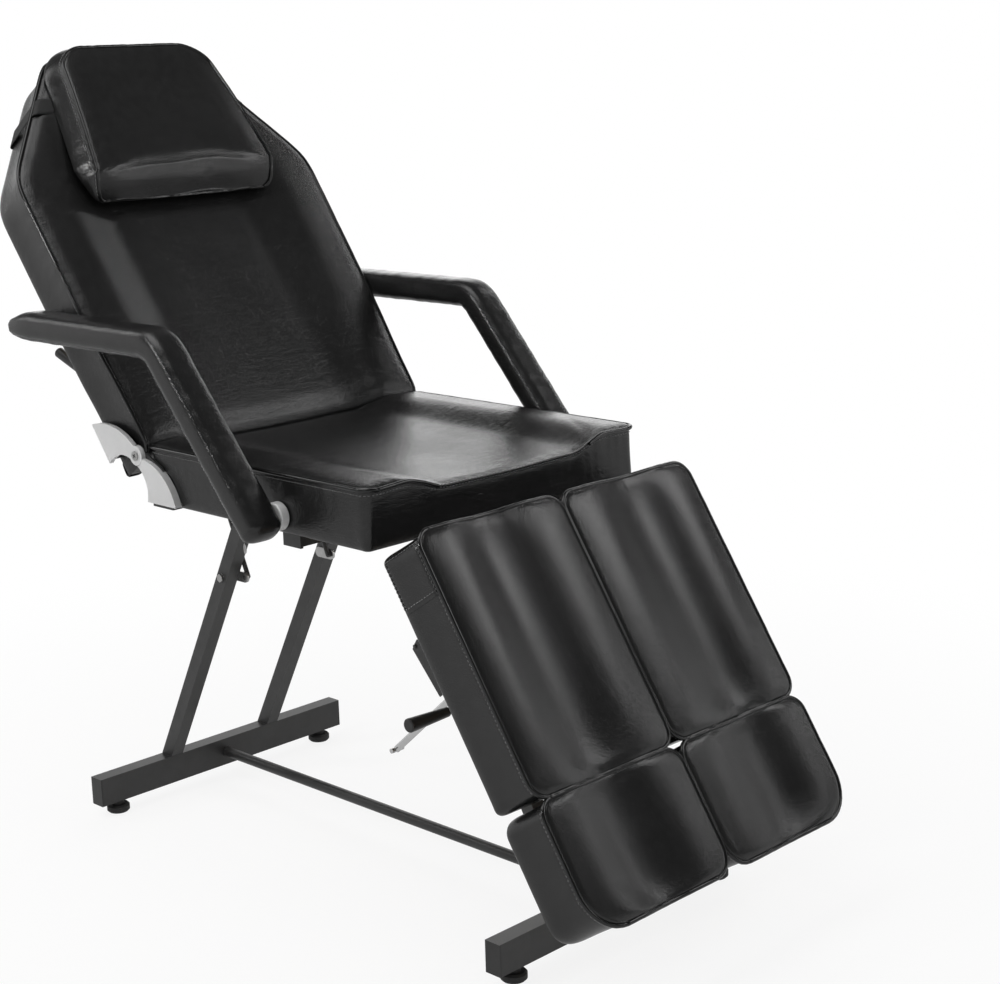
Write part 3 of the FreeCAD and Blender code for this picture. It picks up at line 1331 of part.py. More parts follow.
def leg_cushion(name, sign):
    """The upholstery of an upper leg pad."""
    left, right = pad_edges(sign)
    radius = size("leg_corner_radius")
    start = -size("leg_pad_start")
    stations = straight_stations(start, leg_end, left, right, (radius, radius),
                                 (radius, radius))
    form = pad_form(stations, pad_low, pad_high, size("side_draw_in") / 2,
                    size("leg_dish_depth"), LEG_SLOPE_SHARES)
    margin = size("board_margin")
    pocket = block((left + margin, right - margin), (start - margin, leg_end + margin),
                   (pad_low - size("cut_overrun"), leg_board_top))
    cuts = [pocket, lock_recess(sign), guide_bridge(sign)]
    for x in rod_places(sign):
        deep = leg_end + size("slide_tube_length") + size("seat_gap")
        cuts.append(y_rod(slide_tube_radius + size("running_gap"), leg_end - margin, deep,
                          x, slide_height))
    return feature(f"leg_cushion_{name}", form.cut(cuts), leg_frame)


CLEVIS_TIP_SHARE = 0.60


def leg_bracket(name, sign):
    """The steel of an upper leg pad: the hinge eye and its strap under the board, the
    clevis for the lock rod, and the two guide tubes of the foot rest."""
    x = sign * leg_half_spacing
    gap = size("seat_gap")
    eye_half = size("rail_size") / 2 - size("hinge_ear_thickness") - gap
    eye = x_rod(size("hinge_eye_radius"), x - eye_half, x + eye_half)
    strap_top = pad_low
    strap_low = strap_top - size("leg_strap_thickness")
    strap_end = -size("leg_strap_length")
    strap = block((x - eye_half, x + eye_half), (-size("leg_pad_start"), strap_end),
                  (strap_low, strap_top))
    tongue = block((x - eye_half, x + eye_half), (0, -size("hinge_eye_radius") * 2),
                   (strap_low, strap_top))
    clevis_x = sign * lock_x
    half = size("clevis_width") / 2
    ear = size("clevis_ear_thickness")
    foot = block((x - sign * eye_half, clevis_x + sign * half),
                 (lock_eye.y - size("lock_eye_radius") * 2,
                  lock_eye.y - size("lock_eye_radius") - 2 * gap),
                 (strap_low, strap_top))
    parts = [strap, tongue, foot]
    for side in (-1, 1):
        outer = clevis_x + side * half
        inner = outer - side * ear
        web = block((inner, outer), (lock_eye.y - size("lock_eye_radius") - 3 * gap,
                                     lock_eye.y), (strap_low, lock_eye.z))
        tip = x_rod(size("lock_eye_radius") * CLEVIS_TIP_SHARE, inner, outer, lock_eye.y,
                    lock_eye.z)
        parts += [web, tip]
    pin = x_rod(size("clevis_pin_radius"), clevis_x - half, clevis_x + half, lock_eye.y,
                lock_eye.z)
    shape = eye.fuse(parts + [pin])
    shape = shape.cut(x_rod(size("hinge_pin_radius") + size("running_gap"), x - 2 * eye_half,
                            x + 2 * eye_half))
    tubes = []
    for place in rod_places(sign):
        tube = y_rod(slide_tube_radius, leg_end, leg_end + size("slide_tube_length"), place,
                     slide_height)
        tubes.append(tube)
    guides = tubes[0].fuse([tubes[1], guide_bridge(sign)])
    for place in rod_places(sign):
        guides = guides.cut(y_rod(size("slide_rod_radius") + size("running_gap"),
                                  leg_end - size("cut_overrun"),
                                  leg_end + size("slide_tube_length") + size("cut_overrun"),
                                  place, slide_height))
    return feature(f"leg_bracket_{name}", Part.makeCompound([shape, guides]), leg_frame)


def foot_board(name, sign):
    """The plywood base of a foot pad."""
    width = "Sizes.seat_width / 2 - Sizes.leg_pad_gap / 2 - 4 * Sizes.board_margin"
    length = "Sizes.foot_pad_length - 4 * Sizes.board_margin"
    body = flat_board(f"foot_board_{name}", width, length, "Sizes.board_thickness")
    middle = (foot_start + foot_end) / 2
    body.Placement = leg_frame * turned(sign * pad_centre, middle, pad_low)
    return keep(body, f"foot_board_{name}")


def foot_cushion(name, sign):
    """The upholstery of a foot pad, with a wide round at its outer toe corner."""
    left, right = pad_edges(sign)
    small, wide = size("leg_corner_radius"), size("foot_outer_radius")
    toe = (wide, small) if sign < 0 else (small, wide)
    stations = straight_stations(foot_start, foot_end, left, right, (small, small), toe)
    form = pad_form(stations, pad_low, pad_high, size("side_draw_in") / 2,
                    size("leg_dish_depth"), LEG_SLOPE_SHARES)
    margin = 2 * size("board_margin")
    pocket = block((left + margin, right - margin), (foot_start - margin, foot_end + margin),
                   (pad_low - size("cut_overrun"), leg_board_top))
    cuts = [pocket]
    for x in rod_places(sign):
        cuts.append(y_rod(size("slide_rod_radius"), foot_start + margin,
                          foot_start - size("slide_rod_grip"), x, slide_height))
    bridge = foot_bridge(sign)
    return feature(f"foot_cushion_{name}", form.cut(cuts + [bridge]), leg_frame)


def foot_bridge(sign):
    """The flat bar that ties a foot rest's two rods to its board."""
    y = foot_start - size("slide_rod_grip") + size("rail_size")
    return block(rod_places(sign), (y, y - size("rail_size")), (leg_board_top, slide_height))


def foot_slide_rods(name, sign):
    """Two chrome rods that slide in the leg pad and carry the foot pad."""
    rods = [y_rod(size("slide_rod_radius"), leg_end + size("slide_rod_hold"),
                  foot_start - size("slide_rod_grip"), x, slide_height)
            for x in rod_places(sign)]
    return feature(f"foot_slide_rods_{name}", rods[0].fuse([rods[1], foot_bridge(sign)]),
                   leg_frame)


# Locks of the leg rests
lock_axle_point = Vector(0, -leg_line(size("lock_axle_height")), size("lock_axle_height"))


def lock_geometry():
    """The rod's angle and the eye's distance, from the tangent that runs from the eye
    on the leg rest to the circle of the rod's offset round the axle."""
    eye = leg_frame.multVec(lock_eye)
    reach = eye - lock_axle_point
    distance = math.hypot(reach.y, reach.z)
    along = math.sqrt(distance ** 2 - size("lock_rod_offset") ** 2)
    angle = math.degrees(math.atan2(reach.z, reach.y)
                         - math.asin(size("lock_rod_offset") / distance))
    return angle, along


lock_angle, lock_eye_along = lock_geometry()
lock_frame = Placement(lock_axle_point, Rotation(X_AXIS, lock_angle))


BRACKET_TOE_SHARE = 0.70
WINDOW_RADIUS_SHARE = 0.28
WINDOW_PLACE_SHARES = (0.50, 0.20)
LOCK_HOLE_SHARE = 1.35
LEVER_ROD_SHARE = 0.60
GRIP_RIM_SHARE = 0.35


def lock_bracket(name, sign):
    """The black lock bracket: two three-cornered cheeks that hang on the axle outside
    the front leg, joined by a sleeve that guides the rod."""
    cheek = size("lock_plate_thickness")
    half = size("lock_inner_width") / 2
    offset = size("lock_rod_offset")
    eye = size("hinge_eye_radius")
    base = size("lock_base")
    rim = size("lock_rod_radius") + size("running_gap") + cheek
    points = [(eye, 0), (eye, offset + rim), (-base + 2 * eye, offset + rim),
              (-base - eye, offset - eye), (-base - eye, -size("lock_rear_reach")),
              (-base + eye, -size("lock_rear_reach") - eye * BRACKET_TOE_SHARE), (0, -eye)]
    window_along, window_across = WINDOW_PLACE_SHARES
    parts = []
    for side in (-1, 1):
        near = sign * lock_x + side * half
        far = near + side * cheek
        plate = x_prism(polygon(points), near, far).fuse(x_rod(eye, near, far))
        window = x_rod(offset * WINDOW_RADIUS_SHARE, near - side * cheek, far + side * cheek,
                       -base * window_along, -size("lock_rear_reach") * window_across)
        slot = block((near - side * cheek, far + side * cheek), (-base - 3 * eye, -base + eye),
                     (offset - eye, offset + 3 * eye))
        parts.append(plate.cut([window, slot]))
    sleeve = y_rod(rim, -eye, eye, sign * lock_x, offset)
    ribs = [block((sign * lock_x - half, sign * lock_x + half), (-eye, eye),
                  (offset - cheek, offset + cheek)),
            x_rod(size("lock_axle_radius") + size("running_gap") + cheek,
                  sign * lock_x - half, sign * lock_x + half)]
    shape = parts[0].fuse([parts[1], sleeve] + ribs)
    reach = half + 2 * cheek
    cuts = [x_rod(size("lock_axle_radius") + size("running_gap"), sign * lock_x - reach,
                  sign * lock_x + reach),
            y_rod(size("lock_rod_radius") + size("running_gap"), -2 * eye, 2 * eye,
                  sign * lock_x, offset)]
    shape = shape.cut(cuts)
    bolt = x_rod(size("lock_bolt_radius"), sign * lock_x - reach, sign * lock_x + reach,
                 -base, -size("lock_rear_reach"))
    return feature(f"lock_bracket_{name}", shape.fuse(bolt), lock_frame)


def lock_rod(name, sign):
    """The chrome rod: a flat eye at the leg rest, a long round bar and a cross pin at
    its lower end."""
    x, z = sign * lock_x, size("lock_rod_offset")
    low_end = lock_eye_along - size("lock_rod_length")
    half = size("lock_eye_thickness") / 2
    bar = y_rod(size("lock_rod_radius"), low_end, lock_eye_along - size("lock_eye_bore"), x, z)
    eye = x_rod(size("lock_eye_radius"), x - half, x + half, lock_eye_along, z)
    hole = x_rod(size("lock_eye_bore"), x - 2 * half, x + 2 * half, lock_eye_along, z)
    pin = x_rod(size("end_pin_radius"), x - size("end_pin_length") / 2,
                x + size("end_pin_length") / 2, low_end, z)
    return feature(f"lock_rod_{name}", bar.fuse([eye, pin]).cut(hole), lock_frame)


def lock_lever(name, sign):
    """The lock plate that jams on the rod, with the lever rod at its free end."""
    x = sign * lock_x
    half = size("lock_inner_width") / 2 - size("seat_gap")
    thick = size("lock_plate_thickness")
    y = -size("lock_base")
    rear = size("lock_rear_reach")
    reach = size("lock_lever_reach")
    eye = size("lock_bolt_radius") + size("lock_plate_thickness")
    plate = block((x - half, x + half), (y - thick / 2, y + thick / 2), (-rear, reach))
    hub = x_rod(eye, x - half, x + half, y, -rear)
    hub = hub.fuse(plate).cut(x_rod(size("lock_bolt_radius") + size("running_gap"),
                                    x - 2 * half, x + 2 * half, y, -rear))
    hub = hub.cut(y_rod(size("lock_rod_radius") * LOCK_HOLE_SHARE, y - 2 * thick,
                        y + 2 * thick, x, size("lock_rod_offset")))
    rod = x_rod(size("lock_lever_radius"), x - sign * half,
                x + sign * size("lock_lever_length") * LEVER_ROD_SHARE, y, reach)
    return feature(f"lock_lever_{name}", hub.fuse(rod), lock_frame)


def lock_grip(name, sign):
    """The tapered black grip pushed onto the lever rod."""
    y, z = -size("lock_base"), size("lock_lever_reach")
    start = sign * (lock_x + size("lock_lever_length") - size("lock_grip_length"))
    end_rod = sign * (lock_x + size("lock_lever_length") * LEVER_ROD_SHARE)
    neck, wide = size("lock_grip_neck_radius"), size("lock_grip_radius")
    grip = Part.makeCone(neck, wide, size("lock_grip_length"), Vector(start, y, z),
                         Vector(sign, 0, 0))
    rims = [edge for edge in grip.Edges if edge.Closed]
    grip = grip.makeFillet(neck * GRIP_RIM_SHARE, rims)
    hole = x_rod(size("lock_lever_radius"), start - sign * neck, end_rod, y, z)
    return feature(f"lock_grip_{name}", grip.cut(hole), lock_frame)


# Assembly
floor_bar("rear_floor_bar", bar_half_spacing)
floor_bar("front_floor_bar", -bar_half_spacing)
end_caps()
glide_feet()
stretcher()
stand_bolts()
lock_axle()
seat_cross_rails()
leg_hinge_pins()
seat_board()
seat_cushion()
arm_bushes()
hinge_bolts()
back_cushion()
feature("back_board", back_board_form(0), back_frame)
head_pillow()
pillow_strap()
release_lever()
release_grip()
back_prop()
for side_name, side_sign in SIDES:
    leg_tube(f"rear_leg_{side_name}", side_sign * leg_half_spacing, 1)
    leg_tube(f"front_leg_{side_name}", side_sign * leg_half_spacing, -1)
    seat_rail(side_name, side_sign)
    hinge_plate(f"seat_hinge_plate_{side_name}", side_sign, 0, seat_frame, -1,
                -size("pivot_rise") - size("hinge_plate_thickness"))
    hinge_plate(f"back_hinge_plate_{side_name}", side_sign, 1, back_frame, 1,
                back_behind - size("hinge_plate_thickness"))
    hinge_cover(f"seat_hinge_cover_{side_name}", side_sign, seat_frame, -1, False)
    hinge_cover(f"back_hinge_cover_{side_name}", side_sign, back_frame, 1, True)
    prop_rack(side_name, side_sign)
    arm_tube(side_name, side_sign)
    arm_pad(side_name, side_sign)
    leg_board(side_name, side_sign)
    leg_cushion(side_name, side_sign)
    leg_bracket(side_name, side_sign)
    foot_board(side_name, side_sign)
    foot_cushion(side_name, side_sign)
    foot_slide_rods(side_name, side_sign)
    lock_bracket(side_name, side_sign)
    lock_rod(side_name, side_sign)
    lock_lever(side_name, side_sign)
    lock_grip(side_name, side_sign)

doc.recompute()
faults = [item.Label for item in doc.Objects
          if "Invalid" in item.State or "Error" in item.State]
for item in nodes:
    if item.Shape.isNull() or not item.Shape.isValid() or item.Shape.Volume <= 0:
        faults.append(item.Label)
if faults:
    raise RuntimeError("these pieces failed: " + ", ".join(faults))

# The origin goes on the floor under the middle of the whole chair
whole = Part.makeCompound([item.Shape for item in nodes]).optimalBoundingBox(False, False)
to_middle = Placement(Vector(0, -whole.Center.y, 0), Rotation())
for item in nodes:
    item.Placement = to_middle * item.Placement
doc.recompute()
os.makedirs("parts", exist_ok=True)
for item in nodes:
    item.Shape.exportStep(f"parts/{item.Label}.step")

lever_turn = Vector(0, -size("lock_base"), -size("lock_rear_reach"))
release_turn = Vector(0, size("release_place"), back_behind - size("rack_body") / 2)
PLACES = (
    ("back_recline", back_frame.multVec(Vector())),
    ("arm_tilt", arm_pivot),
    ("back_prop_swing", prop_pivot),
    ("back_release", back_frame.multVec(release_turn)),
    ("leg_lift", leg_hinge),
    ("lock_guide_swing", lock_axle_point),
    ("lock_lever_press", lock_frame.multVec(lever_turn)),
    ("lock_rod_along", lock_frame.Rotation.multVec(Y_AXIS) * 1000 - to_middle.Base),
    ("foot_slide_along", leg_frame.Rotation.multVec(-Y_AXIS) * 1000 - to_middle.Base),
    ("glide_foot", Vector(0, -bar_half_spacing, 0)),
)
for name, point in PLACES:
    point = (to_middle.multVec(point)) / 1000
    print(f"place {name} {point.x:.6f} {point.y:.6f} {point.z:.6f}")
print(len(nodes), "pieces written, box", whole.XLength, whole.YLength, whole.ZLength)
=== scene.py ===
# %% [markdown]
# A treatment chair in black vinyl
#
# The steel, the hinges and the locks of this chair come from its CAD model, at their
# real size and place. This lesson adds what a camera sees: upholstery with piping,
# stitches and wrinkles, and a finish for every metal, plastic and rubber piece.
# Each step says what the real piece is, how it could be made, and why it is made so.

# %% Load the frame
import json
import math

import bmesh
import bpy
import numpy as np
from mathutils import Matrix, Vector, geometry


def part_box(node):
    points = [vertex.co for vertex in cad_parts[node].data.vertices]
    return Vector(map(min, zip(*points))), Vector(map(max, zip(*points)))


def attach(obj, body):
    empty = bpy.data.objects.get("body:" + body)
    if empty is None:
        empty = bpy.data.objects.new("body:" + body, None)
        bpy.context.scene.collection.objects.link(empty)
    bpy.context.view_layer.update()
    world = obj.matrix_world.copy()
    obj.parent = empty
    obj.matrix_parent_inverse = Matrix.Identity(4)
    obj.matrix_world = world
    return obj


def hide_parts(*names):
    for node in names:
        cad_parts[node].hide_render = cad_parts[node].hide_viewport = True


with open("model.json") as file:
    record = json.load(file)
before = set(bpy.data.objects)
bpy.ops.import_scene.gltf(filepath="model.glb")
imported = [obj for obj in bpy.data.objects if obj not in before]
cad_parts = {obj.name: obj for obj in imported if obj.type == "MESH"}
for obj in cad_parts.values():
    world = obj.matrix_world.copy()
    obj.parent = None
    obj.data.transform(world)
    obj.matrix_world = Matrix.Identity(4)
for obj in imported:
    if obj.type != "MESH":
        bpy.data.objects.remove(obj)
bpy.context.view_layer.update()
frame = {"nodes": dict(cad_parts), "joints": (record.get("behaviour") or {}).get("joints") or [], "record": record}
joints = {joint["name"]: joint for joint in frame["joints"]}
SIDES = ("right", "left")
MM = 0.001

# %% [markdown]
# The photograph was solved for its camera: it looks at the chair from the sitter's front
# right, a little above the seat, through a long lens. A camera is a matrix whose columns
# are its right, its up and its backward direction, so the three angles give it directly.

# %% Camera
CAMERA_AZIMUTH = math.radians(-45.385)
CAMERA_ELEVATION = math.radians(13.159)
CAMERA_ROLL = math.radians(-1.644)
CAMERA_DISTANCE = 2.8906
CAMERA_TARGET = Vector((-0.0816, -0.3541, 0.6682))
LENS_MM = 71.12
FILM_MM = 36.0


def link_object(name, data):
    """Puts new data into the scene, as an object at the origin."""
    made = bpy.data.objects.new(name, data)
    bpy.context.scene.collection.objects.link(made)
    return made


azimuth_sin, azimuth_cos = math.sin(CAMERA_AZIMUTH), math.cos(CAMERA_AZIMUTH)
lift_sin, lift_cos = math.sin(CAMERA_ELEVATION), math.cos(CAMERA_ELEVATION)
look_back = Vector((azimuth_sin * lift_cos, -azimuth_cos * lift_cos, lift_sin))
level_right = Vector((azimuth_cos, azimuth_sin, 0))
level_up = look_back.cross(level_right)
roll_sin, roll_cos = math.sin(CAMERA_ROLL), math.cos(CAMERA_ROLL)
camera_right = level_right * roll_cos + level_up * roll_sin
camera_up = level_up * roll_cos - level_right * roll_sin
camera_data = bpy.data.cameras.new("portrait_camera")
camera_data.lens = LENS_MM
camera_data.sensor_width = FILM_MM
camera_data.sensor_fit = "HORIZONTAL"
camera = link_object("portrait_camera", camera_data)
camera_place = Matrix((camera_right, camera_up, look_back)).transposed().to_4x4()
camera_place.translation = CAMERA_TARGET + look_back * CAMERA_DISTANCE
camera.matrix_world = camera_place
bpy.context.scene.camera = camera
print("camera at", [round(value, 3) for value in camera.matrix_world.translation])

# %% [markdown]
# Shader nodes are quicker to read when one call makes a node, sets its options and
# plugs its inputs. An input gets either a plain value or another node's output.

# %% Node helpers


def add_node(tree, kind, inputs=None, **options):
    node = tree.nodes.new(kind)
    for name, value in options.items():
        setattr(node, name, value)
    for name, value in (inputs or {}).items():
        if isinstance(value, bpy.types.NodeSocket):
            tree.links.new(value, node.inputs[name])
        else:
            node.inputs[name].default_value = value
    return node


def math_node(tree, operation, first, second=0.0):
    node = add_node(tree, "ShaderNodeMath", {0: first, 1: second}, operation=operation)
    return node.outputs[0]


def ramp_node(tree, value, low, high, to_low=0.0, to_high=1.0):
    """Maps a value from one range to another, with soft ends."""
    node = add_node(tree, "ShaderNodeMapRange",
                    {"Value": value, "From Min": low, "From Max": high,
                     "To Min": to_low, "To Max": to_high}, interpolation_type="SMOOTHSTEP")
    return node.outputs["Result"]


def mix_node(tree, share, first, second, blend="MIX"):
    node = add_node(tree, "ShaderNodeMixRGB",
                    {"Fac": share, "Color1": first, "Color2": second}, blend_type=blend)
    return node.outputs[0]


def object_point(tree, stretch=(1, 1, 1)):
    place = add_node(tree, "ShaderNodeTexCoord")
    spread = add_node(tree, "ShaderNodeMapping", {"Vector": place.outputs["Object"],
                                                  "Scale": stretch})
    return spread.outputs[0]


def noise(tree, point, scale, detail, roughness=0.5, distortion=0.0, output="Fac"):
    node = add_node(tree, "ShaderNodeTexNoise",
                    {"Vector": point, "Scale": scale, "Detail": detail,
                     "Roughness": roughness, "Distortion": distortion})
    return node.outputs[output]


def new_group(name, inputs, outputs):
    group = bpy.data.node_groups.new(name, "ShaderNodeTree")
    for label, value in inputs:
        socket = group.interface.new_socket(label, in_out="INPUT", socket_type="NodeSocketFloat")
        socket.default_value = value
    for label in outputs:
        group.interface.new_socket(label, in_out="OUTPUT", socket_type="NodeSocketFloat")
    return group, add_node(group, "NodeGroupInput"), add_node(group, "NodeGroupOutput")


# %% [markdown]
# Vinyl is a smooth film with an embossed grain: small rounded pebbles about a
# millimetre across, short creases and long shallow folds where it has been pulled, and
# a shine that varies a little. One group makes them, and every vinyl sets its scales.

# %% Leather grain group
CRACK_WANDER = 0.010
CRACK_WIDTH = 0.10
PEBBLE_HEIGHT = 0.82
WAVE_HEIGHT = 0.30
FOLD_STRETCH = (22, 115, 115)
grain_group, grain_in, grain_out = new_group(
    "leather_grain", (("Pebbles", 900.0), ("Creases", 120.0), ("Crease Depth", 0.5),
                      ("Folds", 0.3)),
    ("Height", "Shine", "Tone"))
grain_point = object_point(grain_group)
pebbles = add_node(grain_group, "ShaderNodeTexVoronoi",
                   {"Vector": grain_point, "Scale": grain_in.outputs["Pebbles"]},
                   feature="SMOOTH_F1")
wander = noise(grain_group, grain_point, 45.0, 3.0, output="Color")
warped = mix_node(grain_group, CRACK_WANDER, grain_point, wander, "ADD")
cracks = add_node(grain_group, "ShaderNodeTexVoronoi",
                  {"Vector": warped, "Scale": grain_in.outputs["Creases"]},
                  feature="DISTANCE_TO_EDGE")
crack_line = ramp_node(grain_group, cracks.outputs["Distance"], 0.0, CRACK_WIDTH, 1.0, 0.0)
patches = noise(grain_group, grain_point, 22.0, 4.0, 0.65)
crack_depth = math_node(grain_group, "MULTIPLY", crack_line,
                        ramp_node(grain_group, patches, 0.50, 0.66))
crack_depth = math_node(grain_group, "MULTIPLY", crack_depth,
                        grain_in.outputs["Crease Depth"])
soft_waves = noise(grain_group, grain_point, 60.0, 2.0)
folds = noise(grain_group, object_point(grain_group, FOLD_STRETCH), 1.0, 2.0, 0.5, 0.4)
fold_height = math_node(grain_group, "MULTIPLY", folds, grain_in.outputs["Folds"])
pebble_height = math_node(grain_group, "MULTIPLY", pebbles.outputs["Distance"],
                          PEBBLE_HEIGHT)
wave_height = math_node(grain_group, "MULTIPLY", soft_waves, WAVE_HEIGHT)
grain_height = math_node(grain_group, "ADD", pebble_height, wave_height)
grain_height = math_node(grain_group, "ADD", grain_height, fold_height)
grain_height = math_node(grain_group, "SUBTRACT", grain_height, crack_depth)
clouds = noise(grain_group, grain_point, 7.0, 1.0)
for label, value in (("Height", grain_height),
                     ("Shine", ramp_node(grain_group, clouds, 0.2, 0.8)),
                     ("Tone", ramp_node(grain_group, soft_waves, 0.3, 0.7))):
    grain_group.links.new(value, grain_out.inputs[label])
print("leather grain has", len(grain_group.nodes), "nodes")

# %% [markdown]
# Paint, plating and moulded plastic share a second effect: a skin that is almost flat,
# with orange peel, faint cloudy wear and small rubbed spots. It differs only in scale.

# %% Fine skin group
skin_group, skin_in, skin_out = new_group(
    "fine_skin", (("Peel", 700.0), ("Clouds", 14.0)), ("Height", "Wear", "Mottle"))
skin_point = object_point(skin_group)
skin_clouds = noise(skin_group, skin_point, skin_in.outputs["Clouds"], 6.0, 0.7)
for label, value in (("Height", noise(skin_group, skin_point, skin_in.outputs["Peel"], 2.0)),
                     ("Wear", ramp_node(skin_group, skin_clouds, 0.60, 0.78)),
                     ("Mottle", ramp_node(skin_group, skin_clouds, 0.30, 0.70))):
    skin_group.links.new(value, skin_out.inputs[label])
print("fine skin has", len(skin_group.nodes), "nodes")

# %% [markdown]
# Each finish is one material: a Principled shader with its constants on its own sockets,
# and a group that moves the colour, the roughness and the bump a little either way.

# %% Material makers


def new_material(name, constants):
    material = bpy.data.materials.new(name)
    material.use_nodes = True
    shader = material.node_tree.nodes["Principled BSDF"]
    for socket, value in constants.items():
        shader.inputs[socket].default_value = value
    return material, material.node_tree, shader


def grey(value, tint=(1.0, 1.0, 1.0)):
    return tuple(value * part for part in tint) + (1.0,)


def add_relief(tree, shader, height, strength, depth):
    relief = add_node(tree, "ShaderNodeBump",
                      {"Strength": strength, "Distance": depth, "Height": height})
    tree.links.new(relief.outputs["Normal"], shader.inputs["Normal"])


def effect_material(name, constants, group, scales, masks, colours, roughness, bump):
    """A material over one effect group: colours over one of its masks, roughness over
    the other, and the group's height through a bump."""
    material, tree, shader = new_material(name, constants)
    effect = add_node(tree, "ShaderNodeGroup", node_tree=group)
    for socket, value in scales.items():
        effect.inputs[socket].default_value = value
    colour_mask, shine_mask = masks
    colour = mix_node(tree, effect.outputs[colour_mask], *colours)
    tree.links.new(colour, shader.inputs["Base Color"])
    tree.links.new(ramp_node(tree, effect.outputs[shine_mask], 0.0, 1.0, *roughness),
                   shader.inputs["Roughness"])
    add_relief(tree, shader, effect.outputs["Height"], *bump)
    return material


def vinyl(name, colours, roughness, pebbles, creases, depth, bump, folds=0.3):
    scales = {"Pebbles": pebbles, "Creases": creases, "Crease Depth": depth, "Folds": folds}
    return effect_material(name, {"Specular IOR Level": 0.5}, grain_group, scales,
                           ("Tone", "Shine"), colours, roughness, bump)


def hard_skin(name, colours, roughness, peel, clouds, bump, metallic=0.0):
    return effect_material(name, {"Metallic": metallic}, skin_group,
                           {"Peel": peel, "Clouds": clouds}, ("Mottle", "Wear"), colours,
                           roughness, bump)


# %% Finishes
black_vinyl = vinyl("black_vinyl", (grey(0.0100), grey(0.0130)), (0.19, 0.25),
                    600.0, 120.0, 0.12, (0.55, 0.0007), 0.12)
worn_vinyl = vinyl("worn_vinyl", (grey(0.0100), grey(0.0130)), (0.20, 0.26),
                   600.0, 90.0, 0.35, (0.55, 0.0008), 1.30)
piping_vinyl = vinyl("piping_vinyl", (grey(0.0040), grey(0.0060)), (0.11, 0.17),
                     1300.0, 300.0, 0.2, (0.15, 0.0002))
# The stitch thread is black, but it gets a light grey here: a painted highlight, so that each stitch shows as a
# pale dot.
painted_sheen_thread = vinyl("stitch_thread_painted_sheen", (grey(0.12), grey(0.22)), (0.34, 0.48),
                     2600.0, 900.0, 0.2, (0.3, 0.0002))
powder_coat = hard_skin("powder_coat", (grey(0.030), grey(0.042)), (0.40, 0.52),
                        1500.0, 16.0, (0.25, 0.0003))
silver_satin = hard_skin("silver_satin", (grey(0.66), grey(0.72)), (0.34, 0.44),
                         1200.0, 10.0, (0.12, 0.0002), 0.1)
chrome_plate = hard_skin("chrome_plate", (grey(0.60), grey(0.68)), (0.06, 0.16),
                         400.0, 25.0, (0.05, 0.0001), 1.0)
zinc_plate = hard_skin("zinc_plate", (grey(0.42, (1.0, 0.99, 0.96)), grey(0.56)),
                       (0.28, 0.45), 900.0, 60.0, (0.15, 0.0002), 1.0)
black_plastic = hard_skin("black_plastic", (grey(0.016), grey(0.024)), (0.36, 0.5),
                          1100.0, 20.0, (0.25, 0.0003))
black_rubber = hard_skin("black_rubber", (grey(0.012), grey(0.022)), (0.62, 0.78),
                         800.0, 30.0, (0.4, 0.0005))
print("finishes", len(bpy.data.materials))

# %% [markdown]
# Plywood shows long birch fibres on its face. Stretching a noise along one axis gives
# fibres, and a second, slower noise gives the darker heart bands. The elastic strap is
# woven, so a slightly bent diagonal wave makes its ribs.

# %% Plywood and elastic
birch_plywood, tree, shader = new_material("birch_plywood", {"Roughness": 0.62})
fibres = noise(tree, object_point(tree, (60, 3, 60)), 6.0, 8.0)
bands = noise(tree, object_point(tree, (9, 0.8, 0.8)), 2.0, 2.0, distortion=2.5)
fibre_colour = mix_node(tree, ramp_node(tree, fibres, 0.35, 0.7),
                        grey(0.33, (1.0, 0.76, 0.52)), grey(0.42, (1.0, 0.80, 0.58)))
wood_colour = mix_node(tree, ramp_node(tree, bands, 0.4, 0.7, 0.0, 0.45), fibre_colour,
                       grey(0.24, (1.0, 0.70, 0.45)))
tree.links.new(wood_colour, shader.inputs["Base Color"])
add_relief(tree, shader, fibres, 0.3, 0.0006)

woven_elastic, tree, shader = new_material("woven_elastic", {"Roughness": 0.75})
ribs = add_node(tree, "ShaderNodeTexWave",
                {"Vector": object_point(tree), "Scale": 420.0, "Distortion": 0.4},
                bands_direction="DIAGONAL").outputs["Fac"]
tree.links.new(mix_node(tree, ribs, grey(0.008), grey(0.024)), shader.inputs["Base Color"])
add_relief(tree, shader, ribs, 0.5, 0.0004)
print("plywood and elastic made")

# %% Finishes for the CAD pieces
SLOT_FINISH = {"black_vinyl": black_vinyl, "powder_coated_steel": powder_coat,
               "silver_cover": silver_satin, "chrome": chrome_plate,
               "zinc_fasteners": zinc_plate, "black_plastic": black_plastic,
               "black_rubber": black_rubber, "plywood": birch_plywood,
               "black_elastic": woven_elastic}
for subpart in frame["record"]["subparts"]:
    node_mesh = frame["nodes"][subpart["node"]].data
    node_mesh.materials.clear()
    node_mesh.materials.append(SLOT_FINISH[subpart["material_slot"]])

# %% [markdown]
# The stage is a floor that reads as white paper but still takes a soft shadow, and a
# white surround that polished metal can see. Light Path tells apart the rays that the
# camera or a mirror sends, and only those see the white. Mirrored paper is kept dimmer.

# %% Paper floor
FLOOR_SIZE = 14.0
PAPER_SHARE = 0.86
PAPER_FADE = (0.8, 2.0)
MIRRORED_PAPER = 0.60


def ray_kinds(tree):
    """Light Path's outputs, and a mask of the rays from mirrors and clear pieces."""
    ray = add_node(tree, "ShaderNodeLightPath").outputs
    return ray, math_node(tree, "MAXIMUM", ray["Is Glossy Ray"], ray["Is Transmission Ray"])


